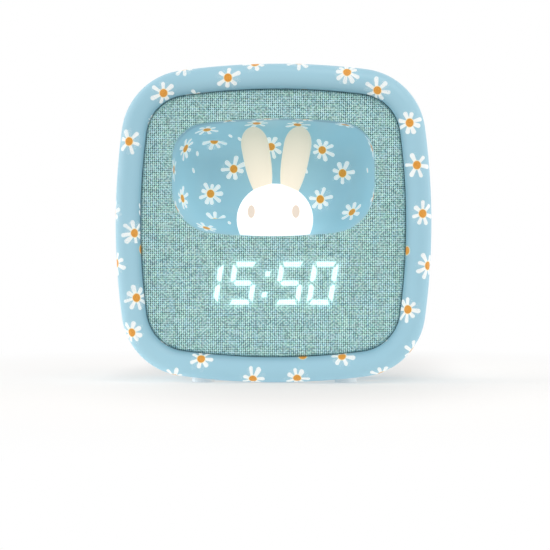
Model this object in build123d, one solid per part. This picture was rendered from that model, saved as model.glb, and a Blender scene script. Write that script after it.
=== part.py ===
from build123d import *
import math
import os

# An upright bedside alarm clock with a night light.
# Millimetres. X runs to the right, Y to the back, Z up. The clock stands on Z = 0.

# Whole clock
WIDTH = 114.0
HEIGHT = 115.0
DEPTH = 55.0             # rim crest to button faces
TABLE_GAP = 0.3          # table to the lowest point of the casing
SIDE_BOW = 255.0         # radius of each long side
CORNER_R = 24.5          # radius of each corner
WALL = 2.2               # wall of both casing halves
SPLIT_Y = 8.0            # joint line between the casing halves
LIP = 2.0                # depth of the tongue at the joint line
REVEAL = 0.3             # shadow gap along the joint line
BACK_ROUND = 11.0        # rounding round the back
FIT = 0.1                # gap between nested mouldings
SHAFT_FIT = 0.05         # radial gap of screws, pegs and plungers in their holes

# Rim and the panel inside it
RIM_WIDTH = 9.5
RIM_CREST = 3.8          # crest, in from the outline
RIM_ROUND = 4.3          # how far back the outer rounding reaches
RIM_DROP = 2.3           # crest to the rim's inner edge
RIM_EDGE = 0.5           # rounding of the rim's inner edge
RIM_SKIN = 2.0           # wall of the rim
PANEL_RECESS = 3.5       # crest to the cloth's face
PANEL_GAP = 0.3          # groove round the cloth
PANEL_DEPTH = 3.5        # cloth's face to the ledge behind it
LEDGE_WIDTH = 4.0
LEDGE_T = 2.0
FABRIC_T = 0.6
BAFFLE_T = 2.0
SKIRT_T = 1.6
EDGE_ROLL = 2.4          # rounding of the cloth round the panel's edge
PEG_R = 1.2
PEG_INSET = 11.5         # baffle pegs, in from the outline
PEG_SPREAD = 22.0        # baffle pegs, from the middle of each side
PEG_HEAD = 1.2           # length of a peg behind the ledge

# Alcove
ALCOVE_SIDE_GAP = 20.25  # casing's side to the alcove
ALCOVE_TOP_GAP = 19.6    # casing's top to the alcove
ALCOVE_BASE_GAP = 16.95  # middle of the digits up to the alcove
ALCOVE_BOW = 200.0
ALCOVE_TOP_SHARE = 0.592  # its radii over half its height
ALCOVE_LOW_SHARE = 0.751
ALCOVE_ROUND_SHARE = 0.47
ALCOVE_DEPTH = 26.0      # cloth's face to the back of the bowl
ALCOVE_DRAFT = 3.0       # degrees
LINER_T = 1.6
FLANGE_WIDTH = 1.5
FLANGE_T = 1.4
LUG_INSET = 6.75         # in from the alcove's side
LUG_DROP = 1.3           # below the alcove
LUG_R = 2.8
LUG_SETBACK = 3.4        # baffle's back to the lug
LUG_T = 1.4
POST_R = 2.2             # posts for small screws

# Bunny lamp
HEAD_RX = 14.0
HEAD_RY = 8.6
HEAD_RZ = 13.1
HEAD_SETBACK = 11.5      # cloth's face to the middle of the head
HEAD_RISE = 6.4          # alcove's base to the middle of the head
HEAD_T = 1.6
HEAD_GAP = 0.15          # head and ears to what they seat on
HEAD_PEG_R = 0.9
HEAD_PEG_X = 11.9
HEAD_PEG_DROP = 2.2      # below the alcove's base
EAR_X = 5.6              # middle of the ear's root
EAR_RISE = 9.8           # middle of the head to the ear's root
EAR_TIP_GAP = 3.5        # ear's tip to the top of the alcove
EAR_ROOT_R = 3.2
EAR_WIDE_R = 4.95
EAR_WIDE_AT = 0.72       # share of the length where the ear is widest
EAR_FLAT = 0.55          # thickness as a share of the width
EAR_TILT = 7.0           # degrees, outwards
EAR_TENON_R = 1.5
EAR_TENON = 3.0
EYE_WIDTH = 2.7
EYE_HEIGHT = 4.7
EYE_X = 8.1
EYE_RISE = 2.7           # above the middle of the head
EYE_PROUD = 0.1
EYE_SINK = 0.7

# Lamp board under the alcove
LAMP_HOLE_X = 16.0
LAMP_HOLE_Y = 8.0
LAMP_HOLE_R = 2.0
LAMP_BOARD_X = 27.0
LAMP_BOARD_Y = 14.0
LAMP_BOARD_DROP = 2.9    # alcove's base to the lamp board
BOARD_T = 1.0
LAMP_PIN_R = 0.8
LAMP_BOSS_R = 2.0
LAMP_PIN_X = 11.0
LAMP_PIN_SETBACK = 4.5   # behind the middle of the head
LAMP_LEDS = 3
LAMP_LED_PITCH = 5.0
LED_W = 2.8
LED_T = 0.7

# Display
DIGIT_X = (-23.2, -10.9, 6.0, 17.9)
DIGITS_Z = 35.85         # middle of the digits
DIGIT_HALF_W = 3.76      # middle of the upright bars
DIGIT_HALF_H = 6.83      # middle of the top and bottom bars
BAR = 2.0                # width of a bar
BAR_MITRE = 0.95
BAR_GAP = 0.35
SLANT = 8.3              # degrees
COLON_X = -2.6
COLON_HALF_H = 3.75
TIME_SHOWN = "1550"
REFLECTOR_MARGIN = 2.0
REFLECTOR_T = 8.0
REFLECTOR_LIP = 1.6
REFLECTOR_LIP_T = 1.5
FILM_T = 0.3
GASKET_T = 0.8
RESIN_T = 6.4
DISPLAY_BOARD_T = 1.6
DISPLAY_BOARD_MARGIN = 6.4
CHIP_W = 1.6
CHIP_H = 0.8
CHIP_T = 0.5

# Back: buttons, socket, main board
BUTTON_PROUD = 0.8
BUTTON_R = 3.4
BUTTON_GAP = 0.25
BUTTON_FLANGE = 1.0      # how much wider the button is behind the wall
BUTTON_FLANGE_T = 1.2
BUTTON_TRAVEL = 0.5
BUTTONS_Z = 43.0
BUTTON_PITCH = 13.0
BUTTON_NAMES = ("set_button", "down_button", "up_button", "alarm_button")
BUTTON_EDGE = 0.4
PLUNGER_R = 1.6
SWITCH_W = 6.0
SWITCH_T = 3.5
PLUNGER_DEPTH = 1.4      # plunger inside the switch
BOARD_SIDE_GAP = 2.4     # screw wells to the main board
MAIN_BOARD_Z = (15.5, 50.0)
MAIN_BOARD_T = 1.6
MAIN_BOARD_GAP = 9.2     # board to the back wall
BOARD_CORNER_R = 1.5
BOARD_HOLE_INSET = 4.0
SOCKET_Z = 22.0
SOCKET_W = 8.9
SOCKET_H = 3.2
SOCKET_SHELL = 0.35
SOCKET_TONGUE = 0.7
CHIP_SIDE = 10.0
HEADERS = 5
HEADER_PITCH = 8.0
HEADER_W = 6.0
HEADER_H = 4.5
HEADER_DEPTH = 5.0
HEADER_WALL = 0.8
LEAD_R = 0.8
LEAD_ARC = 0.45         # share of the shorter run that an arc takes up

# Speaker
SPEAKER_TOP_GAP = 35.0   # casing's top to the middle of the speaker
SPEAKER_R = 18.0
SPEAKER_LIP = 2.0
SPEAKER_T = 8.0
MAGNET_R = 9.0
MAGNET_T = 4.0
CONE_R = 14.5
CONE_T = 0.5
GRILLE_ROWS = 4
GRILLE_PITCH = 3.3
GRILLE_HOLE_R = 0.9
RIB_T = 1.4
RIB_H = 3.0

# Cell
CELL_R = 7.1
CELL_LENGTH = 50.0
CELL_SETBACK = 9.5       # joint line to the middle of the cell
CELL_Z = 13.6
CRADLE_T = 1.4
CRADLE_RIBS = 3
CRADLE_RIB_PITCH = 18.0

# Screws and feet
SCREW_INSET = 14.0
SCREW_R = 1.3
SCREW_HEAD_R = 2.4
SCREW_HEAD_T = 1.8
SCREW_LENGTH = 12.0
BOSS_R = 3.2
BOSS_SETBACK = 3.0       # boss's end to the joint line
GUSSET_T = 1.4
GUSSET_BACK = 8.0        # boss's end to the end of its gusset
WELL_R = 3.0
WELL_WALL = 1.4
WELL_FLOOR = 3.0
SMALL_SCREW_R = 1.0
SMALL_HEAD_R = 1.9
SMALL_HEAD_T = 1.2
SMALL_SCREW_LENGTH = 5.0
SPEAKER_SCREW_LENGTH = 3.6
FOOT_R = 4.0
FOOT_X = 26.0
FOOT_SETBACK = 11.5      # rim's crest to the front pads
FOOT_SPLIT_GAP = 5.0     # joint line to the back pads
FOOT_TOP_Z = 2.5

# Touch electrode
ELECTRODE_W = 28.0
ELECTRODE_L = 14.0
ELECTRODE_SPLIT_GAP = 4.0
ELECTRODE_T = 0.3

# Worked out from the sizes above
HALF_W = WIDTH / 2
HALF_H = (HEIGHT - TABLE_GAP) / 2
MID_Z = TABLE_GAP + HALF_H
FRONT_Y = -DEPTH / 2
REAR_Y = DEPTH / 2 - BUTTON_PROUD
BACK_WALL_Y = REAR_Y - WALL
BOSS_END_Y = SPLIT_Y - BOSS_SETBACK
FABRIC_Y = FRONT_Y + PANEL_RECESS
BAFFLE_Y = FABRIC_Y + FABRIC_T
BAFFLE_BACK_Y = BAFFLE_Y + BAFFLE_T
LEDGE_Y = FABRIC_Y + PANEL_DEPTH
LEDGE_BACK_Y = LEDGE_Y + LEDGE_T
FABRIC_INSET = RIM_WIDTH + PANEL_GAP
BAFFLE_INSET = FABRIC_INSET + FABRIC_T
LEDGE_INSET = RIM_WIDTH + LEDGE_WIDTH
ALCOVE_BASE_Z = DIGITS_Z + ALCOVE_BASE_GAP
ALCOVE_TOP_Z = HEIGHT - ALCOVE_TOP_GAP
ALCOVE_MID_Z = (ALCOVE_BASE_Z + ALCOVE_TOP_Z) / 2
ALCOVE_HALF_W = HALF_W - ALCOVE_SIDE_GAP
ALCOVE_HALF_H = (ALCOVE_TOP_Z - ALCOVE_BASE_Z) / 2
ALCOVE_TOP_R = ALCOVE_TOP_SHARE * ALCOVE_HALF_H
ALCOVE_LOW_R = ALCOVE_LOW_SHARE * ALCOVE_HALF_H
ALCOVE_ROUND = ALCOVE_ROUND_SHARE * ALCOVE_HALF_H
ALCOVE_BACK_Y = FABRIC_Y + ALCOVE_DEPTH
LUG_X = ALCOVE_HALF_W - LUG_INSET
LUG_Y = BAFFLE_BACK_Y + LUG_SETBACK
LUG_Z = ALCOVE_BASE_Z - LUG_DROP
HEAD_Y = FABRIC_Y + HEAD_SETBACK
HEAD_Z = ALCOVE_BASE_Z + HEAD_RISE
EYE_Z = HEAD_Z + EYE_RISE
EAR_ROOT_Z = HEAD_Z + EAR_RISE
EAR_LENGTH = (ALCOVE_TOP_Z - EAR_TIP_GAP - EAR_ROOT_Z) / math.cos(math.radians(EAR_TILT))
LAMP_BOARD_TOP_Z = ALCOVE_BASE_Z - LAMP_BOARD_DROP
SPEAKER_Z = HEIGHT - SPEAKER_TOP_GAP
CELL_Y = SPLIT_Y - CELL_SETBACK
FOOT_Y = (FRONT_Y + FOOT_SETBACK, SPLIT_Y + FOOT_SPLIT_GAP)
ELECTRODE_Y = (SPLIT_Y - ELECTRODE_SPLIT_GAP - ELECTRODE_L, SPLIT_Y - ELECTRODE_SPLIT_GAP)
REFLECTOR_Y = BAFFLE_Y + FILM_T
DISPLAY_BOARD_Y = REFLECTOR_Y + REFLECTOR_T
REFLECTOR_LIP_Y = BAFFLE_BACK_Y + GASKET_T
MAIN_BOARD_BACK_Y = BACK_WALL_Y - MAIN_BOARD_GAP
MAIN_BOARD_Y = MAIN_BOARD_BACK_Y - MAIN_BOARD_T
SWITCH_FACE_Y = MAIN_BOARD_BACK_Y + SWITCH_T
LAMP_PIN_Y = HEAD_Y + LAMP_PIN_SETBACK
HEADERS_Z = MAIN_BOARD_Z[1] - HEADER_H / 2 - HEADER_WALL
CORNERS = [(sx, sz) for sx in (-1, 1) for sz in (-1, 1)]


# ---- shapes used by several pieces ----

def arc_point(centre, radius, start, end):
    """The middle of the arc about a centre, between two points on it."""
    mx = (start[0] + end[0]) / 2 - centre[0]
    mz = (start[1] + end[1]) / 2 - centre[1]
    reach = radius / math.hypot(mx, mz)
    return (centre[0] + mx * reach, centre[1] + mz * reach)


def corner_arcs(half_w, half_h, bow, corner_r):
    """Side, corner and cap arcs of one quarter, as points in the plane, tangent to each other."""
    side = (half_w - bow, 0.0)
    cap = (0.0, half_h - bow)
    span = math.hypot(side[0] - cap[0], side[1] - cap[1])
    height = math.sqrt((bow - corner_r) ** 2 - (span / 2) ** 2)
    across = ((cap[0] - side[0]) / span, (cap[1] - side[1]) / span)
    middle = ((side[0] + cap[0]) / 2, (side[1] + cap[1]) / 2)
    corner = (middle[0] + height * across[1], middle[1] - height * across[0])
    if corner[0] + corner[1] < middle[0] + middle[1]:
        corner = (middle[0] - height * across[1], middle[1] + height * across[0])
    ends = []
    for hub in (side, cap):
        reach = bow / math.hypot(corner[0] - hub[0], corner[1] - hub[1])
        ends.append((hub[0] + (corner[0] - hub[0]) * reach, hub[1] + (corner[1] - hub[1]) * reach))
    start, finish = (half_w, 0.0), (0.0, half_h)
    return [
        (start, arc_point(side, bow, start, ends[0]), ends[0]),
        (ends[0], arc_point(corner, corner_r, ends[0], ends[1]), ends[1]),
        (ends[1], arc_point(cap, bow, ends[1], finish), finish),
    ]


def soft_square(half_w, half_h, bow, top_r, low_r, mid_z):
    """A square of gently bowed sides and round corners, as a wire in the XZ plane."""
    top = corner_arcs(half_w, half_h, bow, top_r)
    low = corner_arcs(half_w, half_h, bow, low_r)
    edges = []
    for arcs, sx, sz in ((top, 1, 1), (top, -1, 1), (low, -1, -1), (low, 1, -1)):
        placed = [[(sx * x, 0, mid_z + sz * z) for x, z in arc] for arc in arcs]
        if sx * sz < 0:
            placed = [arc[::-1] for arc in placed[::-1]]
        edges += [ThreePointArc(*arc) for arc in placed]
    return Wire(edges)


def casing_outline(inset):
    return soft_square(HALF_W - inset, HALF_H - inset, SIDE_BOW - inset,
                       CORNER_R - inset, CORNER_R - inset, MID_Z)


def alcove_outline(grow):
    return soft_square(ALCOVE_HALF_W + grow, ALCOVE_HALF_H + grow, ALCOVE_BOW + grow,
                       ALCOVE_TOP_R + grow, ALCOVE_LOW_R + grow, ALCOVE_MID_Z)


def slab(outline, y0, y1, taper=0.0):
    """A flat outline thickened from y0 to y1."""
    return Pos(0, y0, 0) * extrude(make_face(outline), amount=y1 - y0, dir=(0, 1, 0), taper=taper)


def rolled_slab(inset, y0, y1, roll):
    """A slab of the casing's outline whose front edge is rounded."""
    body = slab(casing_outline(inset), y0, y1)
    return fillet(body.faces().sort_by(Axis.Y)[0].edges(), roll)


def rod(x, z, radius, y0, y1):
    """A round rod along Y."""
    return Pos(x, y0, z) * Rot(-90, 0, 0) * Cylinder(
        radius, y1 - y0, align=(Align.CENTER, Align.CENTER, Align.MIN))


def post(x, y, radius, z0, z1):
    """A round rod along Z."""
    return Pos(x, y, z0) * Cylinder(radius, z1 - z0, align=(Align.CENTER, Align.CENTER, Align.MIN))


def block(x, y, z):
    """A box from three (low, high) pairs."""
    return Pos(x[0], y[0], z[0]) * Box(x[1] - x[0], y[1] - y[0], z[1] - z[0], align=(Align.MIN,) * 3)


def plate(x, z, width, height, radius, y0, y1):
    """A plate facing the front, with round corners."""
    return Pos(x, y1, z) * extrude(Plane.XZ * RectangleRounded(width, height, radius), amount=y1 - y0)


def tile(x, y, width, depth, radius, z0, z1):
    """A plate lying flat, with round corners."""
    return Pos(x, y, z0) * extrude(RectangleRounded(width, depth, radius), amount=z1 - z0)


def spin(points, x, z):
    """A section of (radius, y) points turned about an axis along Y."""
    return Pos(x, 0, z) * revolve(make_face(Polyline(*points, close=True)), axis=Axis.Y)


def screw(x, z, radius, head_r, head_t, length, y, way):
    """A pan-head screw along Y whose head seats at y; its shank runs the given way."""
    tip, top = y + way * length, y - way * head_t
    return rod(x, z, radius, min(y, tip), max(y, tip)) + rod(x, z, head_r, min(y, top), max(y, top))


def small_screw(x, z, y, way, length=SMALL_SCREW_LENGTH):
    return screw(x, z, SMALL_SCREW_R, SMALL_HEAD_R, SMALL_HEAD_T, length, y, way)


def bow_drop(bow, across):
    """How far a bowed side has fallen at a distance from its middle."""
    return bow - math.sqrt(bow ** 2 - across ** 2)


def corner_points(inset):
    """A point on each diagonal of the casing, in from the corner's rounding."""
    corner = corner_arcs(HALF_W, HALF_H, SIDE_BOW, CORNER_R)[1][1]
    step = inset / math.sqrt(2)
    return [(sx * (corner[0] - step), MID_Z + sz * (corner[1] - step)) for sx, sz in CORNERS]


def peg_points():
    """Two baffle pegs along each side of the panel."""
    side = HALF_W - PEG_INSET - bow_drop(SIDE_BOW, PEG_SPREAD)
    cap = HALF_H - PEG_INSET - bow_drop(SIDE_BOW, PEG_SPREAD)
    return ([(sx * side, MID_Z + sz * PEG_SPREAD) for sx, sz in CORNERS]
            + [(sx * PEG_SPREAD, MID_Z + sz * cap) for sx, sz in CORNERS])


def foot_recesses():
    recesses = [post(sx * FOOT_X, y, FOOT_R + FIT, 0, FOOT_TOP_Z) for sx in (-1, 1) for y in FOOT_Y]
    return Compound(recesses)


# ---- casing halves ----

def gusset(x, z):
    """Thin web from a screw boss out to the wall of its corner."""
    length = BOSS_END_Y - GUSSET_BACK - LEDGE_BACK_Y
    turn = math.degrees(math.atan2(MID_Z - z, x))
    web = Box(SCREW_INSET - WALL / 2, length, GUSSET_T, align=(Align.MIN, Align.MIN, Align.CENTER))
    return Pos(x, LEDGE_BACK_Y, z) * Rot(0, turn, 0) * web


def front_casing():
    """Ring moulding: outer wall, rounded rim, and a ledge that the panel rests on."""
    def at(inset, y):
        return (HALF_W - inset, y, MID_Z)

    half_wall = WALL / 2
    turn = math.sqrt(0.5)
    edge_y = FRONT_Y + RIM_DROP
    inner_crest = FRONT_Y + WALL
    section = [
        Line(at(0, SPLIT_Y), at(0, FRONT_Y + RIM_ROUND)),
        ThreePointArc(at(0, FRONT_Y + RIM_ROUND),
                      at(RIM_CREST * (1 - turn), FRONT_Y + RIM_ROUND * (1 - turn)),
                      at(RIM_CREST, FRONT_Y)),
        Line(at(RIM_CREST, FRONT_Y), at(RIM_WIDTH - RIM_EDGE, edge_y)),
        Line(at(RIM_WIDTH - RIM_EDGE, edge_y), at(RIM_WIDTH, edge_y + RIM_EDGE)),
        Line(at(RIM_WIDTH, edge_y + RIM_EDGE), at(RIM_WIDTH, LEDGE_Y)),
        Line(at(RIM_WIDTH, LEDGE_Y), at(LEDGE_INSET, LEDGE_Y)),
        Line(at(LEDGE_INSET, LEDGE_Y), at(LEDGE_INSET, LEDGE_BACK_Y)),
        Line(at(LEDGE_INSET, LEDGE_BACK_Y), at(RIM_WIDTH - RIM_SKIN, LEDGE_BACK_Y)),
        Line(at(RIM_WIDTH - RIM_SKIN, LEDGE_BACK_Y), at(RIM_WIDTH - RIM_SKIN, edge_y + RIM_SKIN)),
        Line(at(RIM_WIDTH - RIM_SKIN, edge_y + RIM_SKIN), at(RIM_CREST, inner_crest)),
        Line(at(RIM_CREST, inner_crest), at(WALL, FRONT_Y + RIM_ROUND)),
        Line(at(WALL, FRONT_Y + RIM_ROUND), at(WALL, SPLIT_Y - LIP)),
        Line(at(WALL, SPLIT_Y - LIP), at(half_wall, SPLIT_Y - LIP)),
        Line(at(half_wall, SPLIT_Y - LIP), at(half_wall, SPLIT_Y)),
        Line(at(half_wall, SPLIT_Y), at(0, SPLIT_Y)),
    ]
    ring = sweep(make_face(Wire(section)), path=casing_outline(0))
    for x, z in corner_points(SCREW_INSET):
        ring += rod(x, z, BOSS_R, LEDGE_BACK_Y, BOSS_END_Y)
        ring += gusset(x, z)
        ring -= rod(x, z, SCREW_R + SHAFT_FIT, BOSS_END_Y - SCREW_LENGTH, BOSS_END_Y)
    for x, z in peg_points():
        ring -= rod(x, z, PEG_R + SHAFT_FIT, LEDGE_Y, LEDGE_BACK_Y)
    return ring - foot_recesses()


def speaker_holes():
    holes = [rod(0, SPEAKER_Z, GRILLE_HOLE_R, BACK_WALL_Y, REAR_Y)]
    for row in range(1, GRILLE_ROWS + 1):
        count = 6 * row
        for step in range(count):
            turn = 2 * math.pi * step / count
            x = row * GRILLE_PITCH * math.cos(turn)
            z = SPEAKER_Z + row * GRILLE_PITCH * math.sin(turn)
            holes.append(rod(x, z, GRILLE_HOLE_R, BACK_WALL_Y, REAR_Y))
    return Compound(holes)


def board_half_width():
    """The main board reaches to a gap from the screw wells."""
    return corner_points(SCREW_INSET)[-1][0] - WELL_R - WELL_WALL - BOARD_SIDE_GAP


def board_hole_points():
    """The four screws that hold the main board."""
    low, high = MAIN_BOARD_Z
    x = board_half_width() - BOARD_HOLE_INSET
    return [(sx * x, z) for sx in (-1, 1) for z in (low + BOARD_HOLE_INSET, high - BOARD_HOLE_INSET)]


def speaker_screw_points():
    reach = SPEAKER_R + SMALL_SCREW_R + FIT
    turns = [math.radians(angle) for angle in (90, 210, 330)]
    return [(reach * math.cos(turn), SPEAKER_Z + reach * math.sin(turn)) for turn in turns]


def button_x(index):
    return (index - (len(BUTTON_NAMES) - 1) / 2) * BUTTON_PITCH


def rear_cover():
    """Deep moulded back with a tongue that enters the front casing."""
    outer = slab(casing_outline(0), SPLIT_Y + REVEAL, REAR_Y)
    outer = fillet(outer.faces().sort_by(Axis.Y)[-1].edges(), BACK_ROUND)
    inner = slab(casing_outline(WALL), SPLIT_Y + REVEAL, BACK_WALL_Y)
    inner = fillet(inner.faces().sort_by(Axis.Y)[-1].edges(), BACK_ROUND - WALL)
    cover = outer - inner
    tongue_y = SPLIT_Y - LIP + FIT
    cover += (slab(casing_outline(WALL / 2 + FIT), tongue_y, SPLIT_Y + REVEAL)
              - slab(casing_outline(WALL), tongue_y, SPLIT_Y + REVEAL))
    well_floor_y = BOSS_END_Y + FIT + WELL_FLOOR
    for x, z in corner_points(SCREW_INSET):
        cover += rod(x, z, WELL_R + WELL_WALL, BOSS_END_Y + FIT, BACK_WALL_Y)
        cover -= rod(x, z, WELL_R, well_floor_y, REAR_Y)
        cover -= rod(x, z, SCREW_R + SHAFT_FIT, BOSS_END_Y, well_floor_y)
    for x, z in board_hole_points():
        cover += rod(x, z, POST_R, MAIN_BOARD_BACK_Y, BACK_WALL_Y)
        cover -= rod(x, z, SMALL_SCREW_R + SHAFT_FIT, MAIN_BOARD_BACK_Y,
                     MAIN_BOARD_Y + SMALL_SCREW_LENGTH)
    rib = SPEAKER_R + FIT
    cover += (rod(0, SPEAKER_Z, rib + RIB_T, BACK_WALL_Y - RIB_H, BACK_WALL_Y)
              - rod(0, SPEAKER_Z, rib, BACK_WALL_Y - RIB_H, BACK_WALL_Y))
    for x, z in speaker_screw_points():
        post_y = BACK_WALL_Y - SPEAKER_LIP - FIT
        cover += rod(x, z, POST_R, post_y, BACK_WALL_Y) - rod(0, SPEAKER_Z, rib, post_y, BACK_WALL_Y)
        cover -= rod(x, z, POST_R, BACK_WALL_Y - RIB_H, post_y)
        cover -= rod(x, z, SMALL_SCREW_R + SHAFT_FIT, post_y, post_y + SPEAKER_SCREW_LENGTH)
    for index in range(len(BUTTON_NAMES)):
        cover -= rod(button_x(index), BUTTONS_Z, BUTTON_R + BUTTON_GAP, BACK_WALL_Y, REAR_Y)
    cover -= plate(0, SOCKET_Z, SOCKET_W + 2 * BUTTON_GAP, SOCKET_H + 2 * BUTTON_GAP,
                   SOCKET_H / 2, BACK_WALL_Y, REAR_Y)
    return cover - speaker_holes() - foot_recesses()


def foot_pads():
    return Compound([post(sx * FOOT_X, y, FOOT_R, 0, FOOT_TOP_Z) for sx in (-1, 1) for y in FOOT_Y])


# ---- front panel ----

def front_baffle():
    """Plate that carries the cloth, with a skirt down to the ledge."""
    gap = FABRIC_T + FIT
    panel = rolled_slab(BAFFLE_INSET, BAFFLE_Y, BAFFLE_BACK_Y, EDGE_ROLL - FABRIC_T)
    panel += (slab(casing_outline(BAFFLE_INSET), BAFFLE_BACK_Y, LEDGE_Y)
              - slab(casing_outline(BAFFLE_INSET + SKIRT_T), BAFFLE_BACK_Y, LEDGE_Y))
    panel -= slab(alcove_outline(gap), BAFFLE_Y, BAFFLE_BACK_Y)
    low, high = reflector_span()
    panel -= plate((low + high) / 2, DIGITS_Z, high - low + 2 * FIT, reflector_height() + 2 * FIT,
                   FIT, BAFFLE_Y, BAFFLE_BACK_Y)
    for sx in (-1, 1):
        panel += rod(sx * LUG_X, LUG_Z, POST_R, BAFFLE_BACK_Y, LUG_Y)
        panel -= rod(sx * LUG_X, LUG_Z, SMALL_SCREW_R + SHAFT_FIT,
                     LUG_Y + LUG_T - SMALL_SCREW_LENGTH, LUG_Y)
    for x, z in display_screw_points():
        panel += rod(x, z, POST_R, BAFFLE_BACK_Y, DISPLAY_BOARD_Y)
        panel -= rod(x, z, SMALL_SCREW_R + SHAFT_FIT,
                     DISPLAY_BOARD_Y + DISPLAY_BOARD_T - SMALL_SCREW_LENGTH, DISPLAY_BOARD_Y)
    for x, z in peg_points():
        panel += rod(x, z, PEG_R, BAFFLE_BACK_Y, LEDGE_BACK_Y + PEG_HEAD)
    return panel


def fabric_cover():
    """Woven cloth over the baffle, turned back round its edge and through the alcove."""
    cloth = (rolled_slab(FABRIC_INSET, FABRIC_Y, LEDGE_Y, EDGE_ROLL)
             - rolled_slab(BAFFLE_INSET, BAFFLE_Y, LEDGE_Y, EDGE_ROLL - FABRIC_T))
    cloth -= slab(alcove_outline(0), FABRIC_Y, BAFFLE_Y)
    cloth += (slab(alcove_outline(FABRIC_T), BAFFLE_Y, BAFFLE_BACK_Y)
              - slab(alcove_outline(0), BAFFLE_Y, BAFFLE_BACK_Y))
    return cloth


def bowl(grow, depth_grow):
    """The alcove's hollow behind the baffle, grown on all sides."""
    hollow = slab(alcove_outline(grow), BAFFLE_BACK_Y, ALCOVE_BACK_Y + depth_grow, ALCOVE_DRAFT)
    return fillet(hollow.faces().sort_by(Axis.Y)[-1].edges(), ALCOVE_ROUND + grow)


def head_peg_points():
    return [(sx * HEAD_PEG_X, HEAD_Y) for sx in (-1, 1)]


def lamp_pin_points():
    return [(sx * LAMP_PIN_X, LAMP_PIN_Y) for sx in (-1, 1)]


def alcove_liner():
    """Drawn bowl with a flange behind the baffle, screw lugs and the lamp board's pins."""
    front = BAFFLE_BACK_Y
    liner = bowl(LINER_T, LINER_T)
    liner += slab(alcove_outline(LINER_T + FLANGE_WIDTH), front, front + FLANGE_T)
    for sx in (-1, 1):
        lug = rod(sx * LUG_X, LUG_Z, LUG_R, LUG_Y, LUG_Y + LUG_T)
        lug += block((sx * LUG_X - LUG_R, sx * LUG_X + LUG_R), (LUG_Y, LUG_Y + LUG_T),
                     (LUG_Z, LUG_Z + 2 * LUG_R))
        liner += lug
        liner -= rod(sx * LUG_X, LUG_Z, SMALL_SCREW_R + SHAFT_FIT, LUG_Y, LUG_Y + LUG_T)
        liner -= rod(sx * LUG_X, LUG_Z, POST_R + FIT, front, LUG_Y)
    for x, y in lamp_pin_points():
        liner += post(x, y, LAMP_BOSS_R, LAMP_BOARD_TOP_Z, ALCOVE_BASE_Z)
        liner += post(x, y, LAMP_PIN_R, LAMP_BOARD_TOP_Z - 2 * BOARD_T, LAMP_BOARD_TOP_Z)
    liner -= bowl(0, 0)
    liner -= tile(0, HEAD_Y, LAMP_HOLE_X, LAMP_HOLE_Y, LAMP_HOLE_R,
                  LAMP_BOARD_TOP_Z, ALCOVE_BASE_Z + HEAD_T)
    for x, y in head_peg_points():
        liner -= post(x, y, HEAD_PEG_R + SHAFT_FIT, LAMP_BOARD_TOP_Z, ALCOVE_BASE_Z + HEAD_T)
    return liner


# ---- bunny lamp ----

def dome(grow):
    """The head's ellipsoid, grown on all sides."""
    radii = (HEAD_RX + grow, HEAD_RY + grow, HEAD_RZ + grow)
    return Pos(0, HEAD_Y, HEAD_Z) * scale(Sphere(1), by=radii)


def eye_prism(sx, grow):
    """An oval bar through one eye, from the front to the middle of the head."""
    oval = Plane.XZ * Ellipse(EYE_WIDTH / 2 + grow, EYE_HEIGHT / 2 + grow)
    return Pos(sx * EYE_X, HEAD_Y, EYE_Z) * extrude(oval, amount=2 * HEAD_RY)


def ear_frame(sx):
    return Pos(sx * EAR_X, HEAD_Y, EAR_ROOT_Z) * Rot(0, sx * EAR_TILT, 0)


def ear_tenon(sx, grow):
    return ear_frame(sx) * Cylinder(EAR_TENON_R + grow, 2 * EAR_TENON)


def bunny_head():
    """Hollow translucent dome that stands on the alcove's floor over the lamp."""
    seat = bowl(-HEAD_GAP, -HEAD_GAP)
    seat += slab(alcove_outline(-HEAD_GAP), FABRIC_Y, BAFFLE_BACK_Y)
    head = (dome(0) - dome(-HEAD_T)) & seat
    for sx in (-1, 1):
        head -= eye_prism(sx, SHAFT_FIT) - dome(-EYE_SINK - SHAFT_FIT)
        head -= ear_tenon(sx, SHAFT_FIT)
    for x, y in head_peg_points():
        peg = post(x, y, HEAD_PEG_R, ALCOVE_BASE_Z - HEAD_PEG_DROP, HEAD_Z)
        head += peg - dome(-HEAD_T / 2)
    return head


def bunny_ear(sx):
    """Long flattened ear with a tenon that plugs into the head."""
    wide_z = EAR_WIDE_AT * EAR_LENGTH
    tip = (0, 0, EAR_LENGTH)
    side = Spline((EAR_ROOT_R, 0, 0), (EAR_WIDE_R, 0, wide_z), tip,
                  tangents=[(0.35, 0, 1), (-1, 0, 0)])
    section = make_face(Wire([side, Line(tip, (0, 0, 0)), Line((0, 0, 0), (EAR_ROOT_R, 0, 0))]))
    ear = scale(revolve(section, axis=Axis.Z), by=(1, EAR_FLAT, 1))
    tenon = ear_tenon(sx, 0) & dome(HEAD_GAP + EAR_TENON_R)
    return (ear_frame(sx) * ear - dome(HEAD_GAP)) + tenon - dome(-HEAD_T)


def bunny_eyes():
    shell = dome(EYE_PROUD) - dome(-EYE_SINK)
    return Compound([eye_prism(sx, 0) & shell for sx in (-1, 1)])


def lamp_board():
    board = tile(0, HEAD_Y + LAMP_PIN_SETBACK / 2, LAMP_BOARD_X, LAMP_BOARD_Y, BOARD_CORNER_R,
                 LAMP_BOARD_TOP_Z - BOARD_T, LAMP_BOARD_TOP_Z)
    for x, y in lamp_pin_points():
        board -= post(x, y, LAMP_PIN_R + SHAFT_FIT, LAMP_BOARD_TOP_Z - BOARD_T, LAMP_BOARD_TOP_Z)
    return board


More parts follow.
